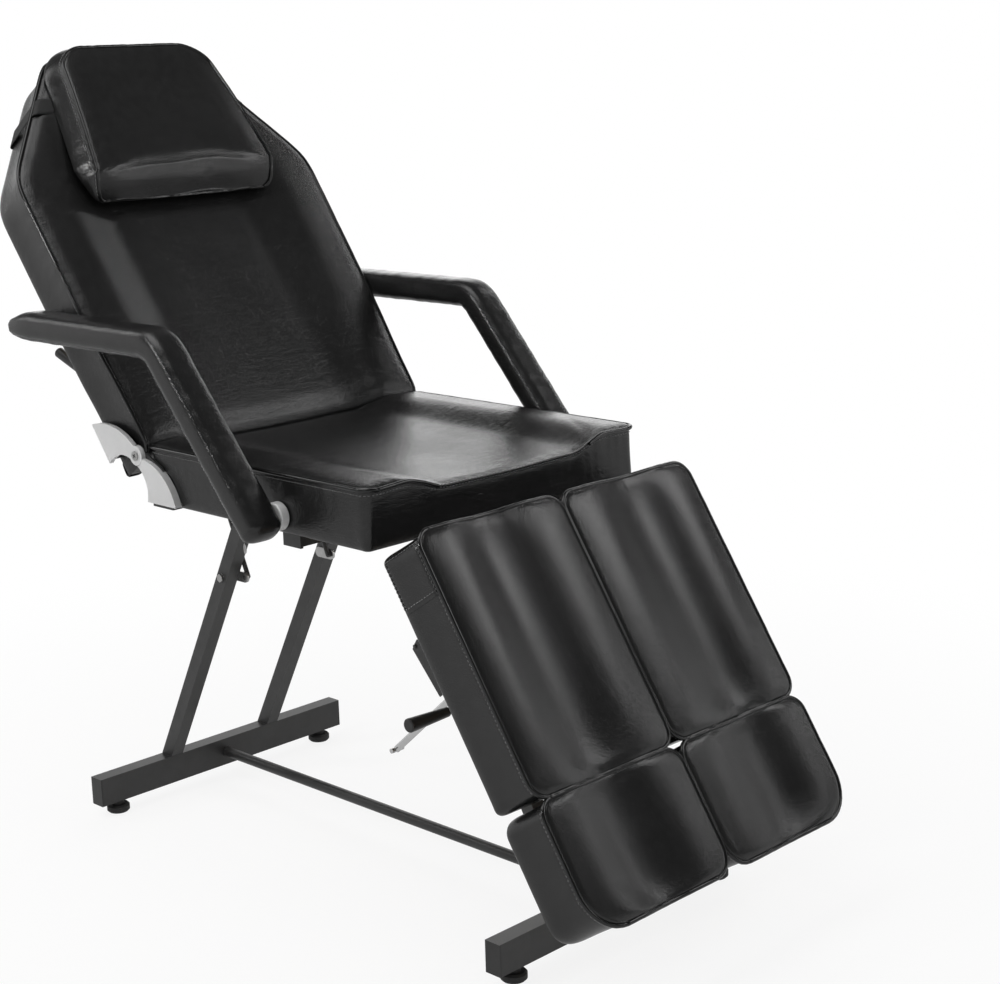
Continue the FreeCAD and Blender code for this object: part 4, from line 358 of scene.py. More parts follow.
bpy.ops.object.select_all(action="DESELECT")
bpy.ops.mesh.primitive_plane_add(size=FLOOR_SIZE, location=(0, 0, 0))
floor = bpy.context.object
floor.name = "paper_floor"
floor_paper, tree, shader = new_material(
    "floor_paper", {"Roughness": 0.9, "Specular IOR Level": 0.1, "Base Color": grey(0.93)})
ray, mirror_ray = ray_kinds(tree)
seen = math_node(tree, "MAXIMUM", ray["Is Camera Ray"], mirror_ray)
paper_light = ramp_node(tree, ray["Is Glossy Ray"], 0.0, 1.0, 1.0, MIRRORED_PAPER)
floor_place = add_node(tree, "ShaderNodeTexCoord")
floor_reach = add_node(tree, "ShaderNodeVectorMath", {0: floor_place.outputs["Object"]},
                       operation="LENGTH")
fade_out = ramp_node(tree, floor_reach.outputs["Value"], *PAPER_FADE, PAPER_SHARE, 1.0)
glow = add_node(tree, "ShaderNodeEmission", {"Color": grey(1.0), "Strength": paper_light})
paper_mix = add_node(tree, "ShaderNodeMixShader",
                     {0: math_node(tree, "MULTIPLY", seen, fade_out), 1: shader.outputs[0],
                      2: glow.outputs[0]})
tree.links.new(paper_mix.outputs[0], tree.nodes["Material Output"].inputs["Surface"])
floor.data.materials.append(floor_paper)
print("floor", FLOOR_SIZE, "m wide")

# %% White surround
FILL_STRENGTH = 0.36
HORIZON = (0.02, 0.36, 0.80, 0.10)
world = bpy.data.worlds.new("studio_world")
bpy.context.scene.world = world
world.use_nodes = True
tree = world.node_tree
tree.nodes.clear()
direction = add_node(tree, "ShaderNodeTexCoord")
height = add_node(tree, "ShaderNodeSeparateXYZ", {0: direction.outputs["Generated"]})
ray, mirror_ray = ray_kinds(tree)
horizon = ramp_node(tree, height.outputs["Z"], *HORIZON)
fill_light, mirror_view, white_view = [
    add_node(tree, "ShaderNodeBackground", {"Color": grey(1.0), "Strength": strength}).outputs[0]
    for strength in (FILL_STRENGTH, horizon, 1.0)]
first_mix = add_node(tree, "ShaderNodeMixShader", {0: mirror_ray, 1: fill_light,
                                                   2: mirror_view})
last_mix = add_node(tree, "ShaderNodeMixShader", {0: ray["Is Camera Ray"],
                                                  1: first_mix.outputs[0], 2: white_view})
add_node(tree, "ShaderNodeOutputWorld", {"Surface": last_mix.outputs[0]})
bpy.context.scene.view_settings.view_transform = "Standard"
print("fill light", FILL_STRENGTH)

# %% [markdown]
# Glossy black shows its lamps more than its own colour. One large lamp hangs overhead,
# two cards are mirrored as the pale bands on the pads, a weak one fills the near side and
# one stands behind. Two thin strips and one small square make the fine highlights.

# %% Lamps
LAMPS = (("overhead", (-0.7, 0.3, 3.0), (0.0, 0.0, 0.65), (1.8, 1.8), 26.0),
         ("front_card", (1.70, -1.70, 2.08), (0.0, -0.4, 0.5), (1.25, 0.95), 12.0),
         ("side_strip", (2.3, 0.15, 2.0), (0.0, 0.45, 1.0), (0.07, 1.5), 4.4),
         ("horizon_card", (2.02, 1.95, 1.62), (0.05, -0.2, 0.7), (2.5, 1.6), 18.5),
         ("near_fill", (-2.6, -1.6, 1.6), (0.0, 0.0, 0.6), (1.0, 1.4), 3.0),
         ("rear_strip", (-1.4, 2.4, 2.2), (0.0, 0.4, 0.9), (0.5, 1.6), 10.0),
         ("edge_spark", (-2.0, 0.6, 1.85), (-0.2, 0.0, 0.8), (0.24, 0.24), 11.0),
         ("roll_strip", (1.79, -1.60, 0.98), (0.0, 0.2, 0.72), (1.0, 0.07), 1.6))
for name, place, target, (lamp_width, lamp_height), power in LAMPS:
    lamp_data = bpy.data.lights.new(name, "AREA")
    lamp_data.shape = "RECTANGLE"
    lamp_data.size, lamp_data.size_y, lamp_data.energy = lamp_width, lamp_height, power
    lamp = link_object(name, lamp_data)
    lamp.location = place
    aim = Vector(target) - Vector(place)
    lamp.rotation_euler = aim.to_track_quat("-Z", "Y").to_euler()
print("lamps", len(LAMPS))

# %% [markdown]
# The back and the leg rests are drawn at an angle, but their upholstery is easier to
# shape lying flat. Each hinge's place and travel give a matrix from the flat pad to the
# raised back or the hanging leg rest, and the CAD pads give the outline to fill.

# %% Flat frames of the tilted pads


def tilt_frame(joint_name):
    joint = joints[joint_name]
    angle = math.radians(-joint["range_deg"][0])
    return Matrix.Translation(joint["pos_m"]) @ Matrix.Rotation(angle, 4, "X")


def carried(points, matrix):
    """Points moved and turned by a matrix."""
    matrix = np.array(matrix)
    return points @ matrix[:3, :3].T + matrix[:3, 3]


def coordinates(mesh):
    flat = np.zeros(len(mesh.vertices) * 3)
    mesh.vertices.foreach_get("co", flat)
    return flat.reshape(-1, 3)


def flat_node(node, place):
    """A CAD node's corners in the flat frame of its pad, with their lowest and highest."""
    points = carried(coordinates(frame["nodes"][node].data), place.inverted())
    return points, points.min(axis=0), points.max(axis=0)


def outline_reader(points):
    """Left and right edge of a convex outline at any place along its length."""
    hull = [Vector((x, y)) for x, y in points[:, :2]]
    order = geometry.convex_hull_2d(hull)
    ring = np.array([hull[index] for index in order])

    def edges_at(y):
        found = []
        for here, there in zip(ring, np.roll(ring, -1, axis=0)):
            low, high = min(here[1], there[1]), max(here[1], there[1])
            if low <= y <= high and high - low > 1e-9:
                share = (y - here[1]) / (there[1] - here[1])
                found.append(here[0] + share * (there[0] - here[0]))
        return min(found), max(found)

    return edges_at


back_frame = tilt_frame("back_recline")
leg_frame = tilt_frame("leg_right_lift")
level_frame = Matrix.Identity(4)
print("back and leg rests turned by", joints["back_recline"]["range_deg"],
      joints["leg_right_lift"]["range_deg"])

# %% [markdown]
# Every pad is one closed mesh: a grid for its face, rings for its side walls, a turned
# edge below, and a flat inside. The face follows a wave across its width, two rolls with
# a hollow between them, and swells quickly from its seam like foam under tight vinyl.
# The grid keeps the seam as a clean loop, which the piping and stitches follow.

# %% Curves and steps of a pad


def eased(points, share):
    """A soft curve through chosen points, level at each of them."""
    places = np.array([point[0] for point in points])
    values = np.array([point[1] for point in points])
    index = np.clip(np.searchsorted(places, share, side="right") - 1, 0, len(places) - 2)
    step = (share - places[index]) / (places[index + 1] - places[index])
    step = (1 - np.cos(np.pi * np.clip(step, 0, 1))) / 2
    return values[index] + (values[index + 1] - values[index]) * step


def swell(distance, width):
    """The quick rise of a pad beside its seam, from 0 to 1."""
    step = np.clip(distance / width, 0, 1)
    return np.sqrt(1 - (1 - step) ** 2)


def graded(length, fine, coarse, reach):
    """Steps along a length, fine at both ends and coarser between them."""
    places = [0.0]
    while places[-1] < length / 2:
        share = min(places[-1] / reach, 1.0)
        places.append(places[-1] + fine + (coarse - fine) * share)
    half = np.array(places) * (length / 2) / places[-1]
    return np.concatenate([half, length - half[-2::-1]])


def corner_rows(length, radius_start, radius_end, coarse):
    """Places along a pad that step evenly round its corner arcs."""
    turns = np.radians(np.linspace(0, 90, 10))
    start = radius_start * (1 - np.cos(turns))
    end = length - radius_end * (1 - np.cos(turns[::-1]))
    count = max(int((end[0] - start[-1]) / coarse), 2)
    middle = np.linspace(start[-1], end[0], count + 1)[1:-1]
    return np.concatenate([start, middle, end])


def corner_insets(rows, length, radius_start, radius_end):
    """How far a side draws in at each row, for a round corner at either end."""
    total = 0
    for distance, radius in ((rows, radius_start), (length - rows, radius_end)):
        inside = np.clip(radius - distance, 0, radius)
        total = total + radius - np.sqrt(radius ** 2 - inside ** 2)
    return total


def ripple(place, length, waves, seed):
    """A closed, uneven wave along a loop, from a few seeded sines."""
    random = np.random.default_rng(seed)
    total = np.zeros_like(place)
    for count in waves:
        total += np.sin(2 * np.pi * (count * place / length + random.random()))
    return total / len(waves)


# %% Loops and faces of a mesh
GAP_BLOCK = 2000


def unit(ways):
    return ways / np.maximum(np.linalg.norm(ways, axis=1, keepdims=True), 1e-9)


def loop_of(rows, columns):
    """Indices round the edge of a grid, counter-clockwise seen from above."""
    index = np.arange(rows * columns).reshape(rows, columns)
    return np.concatenate([index[0, :], index[1:, -1], index[-1, -2::-1], index[-2:0:-1, 0]])


def loop_inward(points):
    """Directions square to a plan loop, towards its inside."""
    along = unit(np.roll(points, -1, axis=0) - np.roll(points, 1, axis=0))
    return np.stack([-along[:, 1], along[:, 0]], axis=1)


def seam_gaps(plan, loop):
    """Each point's distance from the seam loop, and the nearest place on that loop."""
    gap = np.zeros(len(plan))
    nearest = np.zeros(len(plan), int)
    for block in np.array_split(np.arange(len(plan)), len(plan) // GAP_BLOCK + 1):
        away = np.linalg.norm(plan[block][:, None, :] - plan[loop][None, :, :], axis=2)
        gap[block] = away.min(axis=1)
        nearest[block] = away.argmin(axis=1)
    gap[loop] = 0.0
    return gap, nearest


def grid_faces(index):
    corners = [index[:-1, :-1], index[:-1, 1:], index[1:, 1:], index[1:, :-1]]
    return np.stack(corners, axis=-1).reshape(-1, 4).tolist()


def band_faces(ring, other):
    """Quads from one closed ring of corners to another."""
    return np.stack([ring, np.roll(ring, -1), np.roll(other, -1), other], axis=1).tolist()


def tube_faces(rings):
    """Quads along a tube of rings, and a face over each of its ends."""
    faces = []
    for ring, other in zip(rings, rings[1:]):
        faces += band_faces(ring, other)
    return faces + [rings[0][::-1].tolist(), rings[-1].tolist()]


def smooth_faces(mesh):
    for polygon in mesh.polygons:
        polygon.use_smooth = True


def new_piece(name, points, faces, material=None):
    """A new object from corners and faces, shaded smooth."""
    mesh = bpy.data.meshes.new(name)
    mesh.from_pydata(np.array(points).tolist(), [], faces)
    mesh.update()
    if material:
        mesh.materials.append(material)
    smooth_faces(mesh)
    return link_object(name, mesh)


# %% Pad builder
FACE_STEPS = (0.0022, 0.0070, 0.05)
WALL_SHARES = (0.035, 0.09, 0.16, 0.26, 0.38, 0.5, 0.62, 0.72, 0.81, 0.88, 0.94, 0.98, 1.0)
RIM_INSETS = (0.007, 0.014, 0.026)
RIM_DROP = 0.0006
SEAM_PINCH = 0.0026
SEAM_PINCH_SHARE = 0.05
INNER_LIFT = 0.006
EDGE_SHARE = 0.24
EDGE_ROUND = 0.0045
PIN_REACH = 0.03
RIPPLE_PITCHES = (0.017, 0.024, 0.041, 0.09)
FACE_RIPPLE = 0.0005
FACE_RIPPLE_REACH = 0.012
WALL_RIPPLE = 0.0011
WALL_RIPPLE_REACH = 0.020
WALL_RIPPLE_LEAST = 0.00015


def wall_points(loop_plan, foot_plan, seam_height, low, draw_in, pull):
    """Rings down a pad's side walls, round their lower edge and under the board."""
    inward = loop_inward(loop_plan)
    rings = []
    for share in WALL_SHARES:
        drawn = draw_in * math.sin(math.pi * share)
        drawn += SEAM_PINCH * math.exp(-share / SEAM_PINCH_SHARE)
        turned = max(0.0, (share - 1 + EDGE_SHARE) / EDGE_SHARE)
        drawn += EDGE_ROUND * (1 - math.sqrt(1 - turned ** 2))
        depth = (seam_height - low) * share
        wrinkle = WALL_RIPPLE * pull * np.exp(-depth / WALL_RIPPLE_REACH)
        inset = drawn + wrinkle + WALL_RIPPLE_LEAST * pull
        ring_plan = loop_plan + (foot_plan - loop_plan) * share + inward * inset[:, None]
        rings.append(np.column_stack([ring_plan, seam_height - depth]))
    board = [(inset, low - RIM_DROP) for inset in RIM_INSETS]
    for inset, height in board + [(RIM_INSETS[-1], low + INNER_LIFT)]:
        rings.append(np.column_stack([foot_plan + inward * inset,
                                      np.full(len(loop_plan), height)]))
    return rings


def build_pad(name, place, ys, edges, face_height, low, draw_in, low_edges=None,
              flare=None):
    """Makes a pad and returns it with the indices of its loops. edges and low_edges are
    its left and right sides, at the face and at the board. face_height gives the height
    of the face from its column share, its row place and its distance from the seam."""
    width = float(np.max(edges[1] - edges[0]))
    shares = graded(width, *FACE_STEPS) / width
    rows, columns = len(ys), len(shares)
    share_grid, y_grid = np.meshgrid(shares, ys)

    def plan_between(left, right):
        x_grid = left[:, None] + (right - left)[:, None] * share_grid
        return np.stack([x_grid.ravel(), y_grid.ravel()], axis=1)

    plan = plan_between(*edges)
    loop = loop_of(rows, columns)
    loop_plan = plan[loop]
    step = np.linalg.norm(np.roll(loop_plan, -1, axis=0) - loop_plan, axis=1)
    travel = np.concatenate([[0], np.cumsum(step)[:-1]])
    length = float(step.sum())
    pull = ripple(travel, length, [int(length / pitch) for pitch in RIPPLE_PITCHES], len(name))
    gap, nearest = seam_gaps(plan, loop)
    top = face_height(share_grid.ravel(), y_grid.ravel(), gap)
    top = top - FACE_RIPPLE * pull[nearest] * np.exp(-gap / FACE_RIPPLE_REACH) * (gap > 0)
    foot_plan = plan_between(*(low_edges or edges))[loop]
    if flare is not None:
        foot_plan = foot_plan - loop_inward(loop_plan) * flare(foot_plan)[:, None]
    walls = wall_points(loop_plan, foot_plan, top[loop], low, draw_in, pull)
    rings = [loop]
    for number in range(len(walls)):
        rings.append(np.arange(len(loop)) + len(plan) + number * len(loop))
    index = np.arange(rows * columns).reshape(rows, columns)
    faces = grid_faces(index)
    for upper, lower in zip(rings, rings[1:]):
        faces += band_faces(lower, upper)
    points = carried(np.concatenate([np.column_stack([plan, top])] + walls), place)
    pad = new_piece(name, points, faces)
    free = np.zeros(len(points))
    free[:rows * columns] = swell(gap, PIN_REACH)
    print(name, "rows", rows, "columns", columns, "faces", len(faces))
    return {"object": pad, "rings": rings, "grid": index, "free": free, "place": place}


# %% [markdown]
# Cloth is what turns a drawn cushion into a stuffed one. Each pad's seam and walls are
# pinned and pressure swells the face. The seat, the back and the pillow are cut a touch
# too large, so that they wrinkle, and the leg and foot pads are sewn tight. All the pads
# are simulated in the same twenty frames, so they share the processor. The movement is
# then capped, because the foam under real vinyl doesn't travel far.

# %% Cloth helpers
PRESSURE = 4.0
CLOTH_MASS = 0.25
CLOTH_QUALITY = 4
CLOTH_FRAMES = 20


def dress_in_cloth(pad, extra):
    cloth_object = pad["object"]
    pins = cloth_object.vertex_groups.new(name="pins")
    for index, weight in enumerate(1 - pad["free"]):
        pins.add([index], float(weight), "REPLACE")
    cloth = cloth_object.modifiers.new("stuffing", "CLOTH")
    cloth.settings.vertex_group_mass = "pins"
    cloth.settings.pin_stiffness = 1.0
    cloth.settings.use_pressure = True
    cloth.settings.uniform_pressure_force = PRESSURE
    cloth.settings.shrink_min = -extra
    cloth.settings.mass = CLOTH_MASS
    cloth.settings.quality = CLOTH_QUALITY
    cloth.settings.effector_weights.gravity = 0.0
    cloth.collision_settings.use_collision = False


def select_only(made):
    bpy.ops.object.select_all(action="DESELECT")
    bpy.context.view_layer.objects.active = made
    made.select_set(True)


def apply_modifier(made, kind, **settings):
    """Adds one modifier, with its settings, and applies it at once."""
    modifier = made.modifiers.new(kind.lower(), kind)
    for name, value in settings.items():
        setattr(modifier, name, value)
    select_only(made)
    bpy.ops.object.modifier_apply(modifier=modifier.name)


def edit_shell(mesh, change):
    """Makes one change to a mesh in its editing form."""
    shell = bmesh.new()
    shell.from_mesh(mesh)
    change(shell)
    shell.to_mesh(mesh)
    shell.free()


def close_underside(shell):
    """Fills the one open edge under a pad, inside its board."""
    rim = [edge for edge in shell.edges if edge.is_boundary]
    bmesh.ops.holes_fill(shell, edges=rim, sides=0)


def turn_outwards(shell):
    bmesh.ops.recalc_face_normals(shell, faces=shell.faces)


def settle_and_finish(pads, cap):
    """Runs the shared simulation, caps the travel and smooths each pad once."""
    before = {pad["object"].name: coordinates(pad["object"].data) for pad in pads}
    for frame_number in range(1, CLOTH_FRAMES + 1):
        bpy.context.scene.frame_set(frame_number)
    graph = bpy.context.evaluated_depsgraph_get()
    for pad in pads:
        made = pad["object"]
        after = coordinates(made.evaluated_get(graph).data)
        made.modifiers.remove(made.modifiers["stuffing"])
        move = after - before[made.name]
        size = np.maximum(np.linalg.norm(move, axis=1, keepdims=True), 1e-9)
        limit = cap[made.name]
        moved = before[made.name] + move / size * limit * np.tanh(size / limit)
        made.data.vertices.foreach_set("co", moved.ravel())
        made.data.update()
        print(made.name, "swelled by", round(float(size.max()) / MM, 1), "mm at most")
        apply_modifier(made, "SUBSURF", levels=1, render_levels=1)
        edit_shell(made.data, close_underside)
    bpy.context.scene.frame_set(1)


# %% [markdown]
# The leg pads and foot pads are all one shape with two rolls and a hollow, puffed up
# beside their piping. Their hollow is a little nearer to the outer side. Only the right
# ones are simulated, and the left ones are mirrored copies, as they are sewn in pairs.

# %% Leg and foot pads
SEAM_BELOW_TOP = 0.008
LEG_WAVE = ((0.0, 0.0), (0.15, 0.0025), (0.46, -0.0150), (0.84, 0.0025), (1.0, 0.0))
LEG_PUFF = 0.0045
LEG_PUFF_WIDTH = 0.011
LEG_ROW_STEP = 0.0070
END_FADE_SHARE = 0.42
END_FADE_LENGTH = 0.070
LEG_DRAW_IN = 0.0015
LEG_CORNER = 0.026
TOE_CORNER = 0.060
TOE_INNER_CORNER = 0.034
LEG_BOARD_CORNER = 0.012
FOOT_BOARD_CORNER = 0.036
PAD_REACH = 0.0025


def rectangle_pad(name, node, toe_outer, toe_inner, board_corner, reach_toe, reach_head):
    """A right-hand leg or foot pad, from its CAD node's box in the leg frame. The toe
    end is at low Y, and the outer side is at low X. It reaches a little past the box
    where a neighbouring pad leaves a gap."""
    lowest, highest = flat_node(node, leg_frame)[1:]
    lowest[1] -= reach_toe
    highest[1] += reach_head
    length = highest[1] - lowest[1]
    ys = corner_rows(length, max(toe_outer, toe_inner), LEG_CORNER, LEG_ROW_STEP)
    left_inset = corner_insets(ys, length, toe_outer, LEG_CORNER)
    right_inset = corner_insets(ys, length, toe_inner, LEG_CORNER)
    board_inset = corner_insets(ys, length, board_corner, board_corner)

    def face_height(share, y, gap):
        end_gap = np.minimum(y - lowest[1], highest[1] - y)
        fade = END_FADE_SHARE + (1 - END_FADE_SHARE) * swell(end_gap, END_FADE_LENGTH)
        puff = LEG_PUFF * swell(gap, LEG_PUFF_WIDTH)
        return highest[2] - SEAM_BELOW_TOP + eased(LEG_WAVE, share) * fade + puff

    return build_pad(name, leg_frame, lowest[1] + ys,
                     (lowest[0] + left_inset, highest[0] - right_inset), face_height,
                     lowest[2], LEG_DRAW_IN,
                     (lowest[0] + np.minimum(board_inset, left_inset),
                      highest[0] - np.minimum(board_inset, right_inset)))


leg_pad = rectangle_pad("leg_pad_right", "leg_cushion_right", LEG_CORNER, LEG_CORNER,
                        LEG_BOARD_CORNER, PAD_REACH, 0)
foot_pad = rectangle_pad("foot_pad_right", "foot_cushion_right", TOE_CORNER,
                         TOE_INNER_CORNER, FOOT_BOARD_CORNER, 0, PAD_REACH)

# %% [markdown]
# The seat has a narrow roll along each side and a panel sunk between them, deepest at
# the front, where it is seamed down with two rows of stitches instead of piping.

# %% Seat pad
SEAT_WAVE = ((0.0, 0.0), (0.10, 0.0020), (0.27, -0.0245), (0.50, -0.0265), (0.76, -0.0245),
             (0.90, 0.0020), (1.0, 0.0))
SEAT_PUFF = 0.0055
PUFF_WIDTH = 0.017
SEAT_ROW_STEP = 0.0075
SEAT_CORNER = 0.021
SEAT_BOARD_CORNER = 0.012
SEAT_DRAW_IN = 0.0010
REAR_HOLLOW_SHARE = 0.62
SEAM_HOLLOW_SHARE = 0.82
SEAM_HOLLOW_REACH = 0.05

seat_low, seat_high = flat_node("seat_cushion", level_frame)[1:]
seat_length = seat_high[1] - seat_low[1]
seat_rows = corner_rows(seat_length, SEAT_CORNER, SEAT_CORNER, SEAT_ROW_STEP)
seat_inset = corner_insets(seat_rows, seat_length, SEAT_CORNER, SEAT_CORNER)
board_inset = corner_insets(seat_rows, seat_length, SEAT_BOARD_CORNER, SEAT_BOARD_CORNER)


def seat_height(share, y, gap):
    along = (y - seat_low[1]) / seat_length
    depth = 1 - (1 - REAR_HOLLOW_SHARE) * np.clip(along, 0, 1)
    wave = eased(SEAT_WAVE, share)
    rise = SEAM_HOLLOW_SHARE + (1 - SEAM_HOLLOW_SHARE) * swell(gap, SEAM_HOLLOW_REACH)
    fade = np.where(wave < 0, depth * rise, 1.0)
    return seat_high[2] - SEAM_BELOW_TOP + wave * fade + SEAT_PUFF * swell(gap, PUFF_WIDTH)


seat_pad = build_pad("seat_pad", level_frame, seat_low[1] + seat_rows,
                     (seat_low[0] + seat_inset, seat_high[0] - seat_inset), seat_height,
                     seat_low[2], SEAT_DRAW_IN,
                     (seat_low[0] + board_inset, seat_high[0] - board_inset))

# %% [markdown]
# The back pad widens to the shoulders and slopes in to the head. Its hinged end has no
# piping: the vinyl rolls over the foam and under the pad, so the face there drops along
# a quarter of an ellipse before it meets the end wall. The pad is drawn in a little
# beside the hinges, where the silver covers need room when the back lies flat.

# %% Back pad
BACK_WAVE = ((0.0, 0.0), (0.10, 0.0030), (0.27, -0.0165), (0.50, -0.0185), (0.70, -0.0165),
             (0.88, 0.0030), (1.0, 0.0))
BACK_PUFF = 0.0055
BACK_DRAW_IN = 0.0035
BACK_ROW_STEP = 0.0080
BACK_LOW_CORNER = 0.012
BACK_HEAD_CORNER = 0.046
ROLL_LENGTH = 0.028
ROLL_DROP = 0.032
HEAD_FLAT_LENGTH = 0.30
HEAD_WAVE_SHARE = 0.45
OUTLINE_SOFTNESS = 0.022
HEAD_SOFT_LENGTH = 0.06
STRAIGHT_LENGTH = 0.05
OPEN_END_LENGTH = 0.1
HINGE_ZONE = 0.16
HINGE_CLEARANCE = 0.0022

back_points, back_low, back_high = flat_node("back_cushion", back_frame)
back_length = back_high[1] - back_low[1]
back_edges = outline_reader(back_points)
back_ys = back_low[1] + corner_rows(back_length, BACK_LOW_CORNER, BACK_HEAD_CORNER,
                                    BACK_ROW_STEP)
soft_steps = np.linspace(-1, 1, 9) * OUTLINE_SOFTNESS
hinge_half = back_edges(back_low[1] + STRAIGHT_LENGTH)[1]
back_half = []
for y in back_ys:
    head_share = min(1.0, (back_high[1] - y) / HEAD_SOFT_LENGTH)
    samples = [min(max(y + step, back_low[1] + STRAIGHT_LENGTH), back_high[1] - 1e-6)
               for step in soft_steps * head_share]
    back_half.append(np.mean([back_edges(sample)[1] for sample in samples]))
near_hinge = np.clip((HINGE_ZONE - (back_ys - back_low[1])) / HINGE_ZONE, 0, 1)
back_half = np.array(back_half) - HINGE_CLEARANCE * swell(near_hinge, 1.0)


def back_height(share, y, gap):
    roll = np.clip((back_low[1] + ROLL_LENGTH - y) / ROLL_LENGTH, 0, 1)
    drop = ROLL_DROP * (1 - np.sqrt(1 - roll ** 2))
    head = np.clip((back_high[1] - y) / HEAD_FLAT_LENGTH, 0, 1)
    fade = HEAD_WAVE_SHARE + (1 - HEAD_WAVE_SHARE) * swell(head, 1.0)
    side_gap = np.minimum(share, 1 - share) * 2 * hinge_half
    gap = np.where(y < back_low[1] + OPEN_END_LENGTH, np.minimum(side_gap, 1.0), gap)
    face = back_high[2] - SEAM_BELOW_TOP + eased(BACK_WAVE, share) * fade
    return face + BACK_PUFF * swell(gap, PUFF_WIDTH) - drop


back_pad = build_pad("back_pad", back_frame, back_ys, (-back_half, back_half),
                     back_height, back_low[2], BACK_DRAW_IN)

# %% [markdown]
# The head pillow is a wedge: a sloping lip along its lower edge, an uneven crease where
# the lip meets the face, and a face that is a little crowned. Its walls spread outwards.

# %% Head pillow
PILLOW_LIP = 0.038
PILLOW_LIP_LOW = 0.004
PILLOW_LIP_ROUND = 0.35
PILLOW_LIP_WAVES = ((0.0035, 7.0, 0.6), (0.0015, 17.0, 0.0))
PILLOW_CROWN = 0.006
PILLOW_PUFF = 0.004
PILLOW_PUFF_WIDTH = 0.02
PILLOW_WIDTH = 0.36
PILLOW_FLARE = 0.022
PILLOW_FLARE_START = 0.060
PILLOW_DRAW_IN = -0.003
PILLOW_HEAD_CORNER = 0.040
PILLOW_LOW_CORNER = 0.014
PILLOW_BELOW_TOP = 0.010
PILLOW_ROW_STEP = 0.0060

pillow_points, pillow_low, pillow_high = flat_node("head_pillow", back_frame)
pillow_edges = outline_reader(pillow_points)
pillow_length = pillow_high[1] - pillow_low[1]
pillow_rows = np.unique(np.concatenate([
    corner_rows(pillow_length, PILLOW_LOW_CORNER, PILLOW_HEAD_CORNER, PILLOW_ROW_STEP),
    np.linspace(0.02, 0.06, 13)]).round(5))
inner_rows = np.clip(pillow_rows, 1e-6, pillow_length - 1e-6)
pillow_half = np.array([pillow_edges(pillow_low[1] + y)[1] for y in inner_rows]) - PILLOW_FLARE
pillow_half -= corner_insets(pillow_rows, pillow_length, PILLOW_LOW_CORNER,
                             PILLOW_HEAD_CORNER)


def pillow_height(share, y, gap):
    along = y - pillow_low[1]
    uneven = sum(height * np.sin(rate * share + start)
                 for height, rate, start in PILLOW_LIP_WAVES)
    lip = np.clip((along + uneven) / PILLOW_LIP, 0, 1)
    lip = lip * (2 - lip) * PILLOW_LIP_ROUND + lip * (1 - PILLOW_LIP_ROUND)
    lowest = pillow_low[2] + PILLOW_LIP_LOW
    rise = pillow_high[2] - PILLOW_BELOW_TOP - lowest
    crown = PILLOW_CROWN * np.sin(np.pi * np.clip(along / pillow_length, 0, 1))
    side_gap = np.minimum(share, 1 - share) * PILLOW_WIDTH
    puff = PILLOW_PUFF * swell(np.where(along < PILLOW_LIP, side_gap, gap), PILLOW_PUFF_WIDTH)
    return lowest + (rise + crown + puff) * lip


def pillow_flare(plan):
    """The walls spread outwards at the sides and the head, and not at the lip."""
    return PILLOW_FLARE * np.clip((plan[:, 1] - pillow_low[1]) / PILLOW_FLARE_START, 0, 1)


pillow_pad = build_pad("head_pillow_pad", back_frame, pillow_low[1] + pillow_rows,
                       (-pillow_half, pillow_half), pillow_height, pillow_low[2],
                       PILLOW_DRAW_IN, flare=pillow_flare)

# %% Stuff the pads
all_pads = [leg_pad, foot_pad, seat_pad, back_pad, pillow_pad]
PAD_CAP = {"leg_pad_right": 0.0020, "foot_pad_right": 0.0020, "seat_pad": 0.0025,
           "back_pad": 0.0020, "head_pillow_pad": 0.0020}
PAD_SPARE = {"leg_pad_right": 0.0, "foot_pad_right": 0.0, "seat_pad": 0.0015,
             "back_pad": 0.0010, "head_pillow_pad": 0.0005}
for pad in all_pads:
    dress_in_cloth(pad, PAD_SPARE[pad["object"].name])
settle_and_finish(all_pads, PAD_CAP)
for pad in all_pads:
    worn = pad in (seat_pad, back_pad)
    pad["object"].data.materials.append(worn_vinyl if worn else black_vinyl)

# %% [markdown]
# Piping is a cord wrapped in vinyl and sewn into the seam. A bevelled curve along the
# finished seam is the plain way to make it, and it is turned into a mesh at once.
# Stitches are short thread capsules laid on the surface, one for each needle step.

# %% Piping
PIPING_RADIUS = 0.0034
PIPING_LIFT = 0.0024


def tube(name, points, radius, closed, material):
    curve = bpy.data.curves.new(name, "CURVE")
    curve.dimensions = "3D"
    curve.bevel_depth = radius
    curve.bevel_resolution = 2
    curve.use_fill_caps = not closed
    spline = curve.splines.new("POLY")
    spline.points.add(len(points) - 1)
    for target, point in zip(spline.points, points):
        target.co = (*point, 1.0)
    spline.use_cyclic_u = closed
    select_only(link_object(name, curve))
    bpy.ops.object.convert(target="MESH")
    made = bpy.context.object
    smooth_faces(made.data)
    made.data.materials.clear()
    made.data.materials.append(material)
    return made


def ring_line(pad, ring):
    """Points and outward directions along one of a finished pad's rings."""
    mesh = pad["object"].data
    points = np.array([mesh.vertices[index].co for index in ring])
    normals = np.array([mesh.vertices[index].normal for index in ring])
    return points, normals


def seam_line(pad):
    points, normals = ring_line(pad, pad["rings"][0])
    return points + normals * PIPING_LIFT


def piping(pad, name, part=slice(None), closed=False, share=1.0):
    """A cord over the pad's seam, or over a part of it."""
    line = seam_line(pad)[part].tolist()
    return tube(name, line, PIPING_RADIUS * share, closed, piping_vinyl)


# %% Stitches
STITCH_PITCH = 0.0064
STITCH_LENGTH = 0.0042
STITCH_RADIUS = 0.00068
STITCH_PROFILE = ((-0.5, 0.35, -0.5), (-0.36, 0.95, 0.35), (0.0, 1.1, 0.75),
                  (0.36, 0.95, 0.35), (0.5, 0.35, -0.5))
STITCH_SIDES = 6


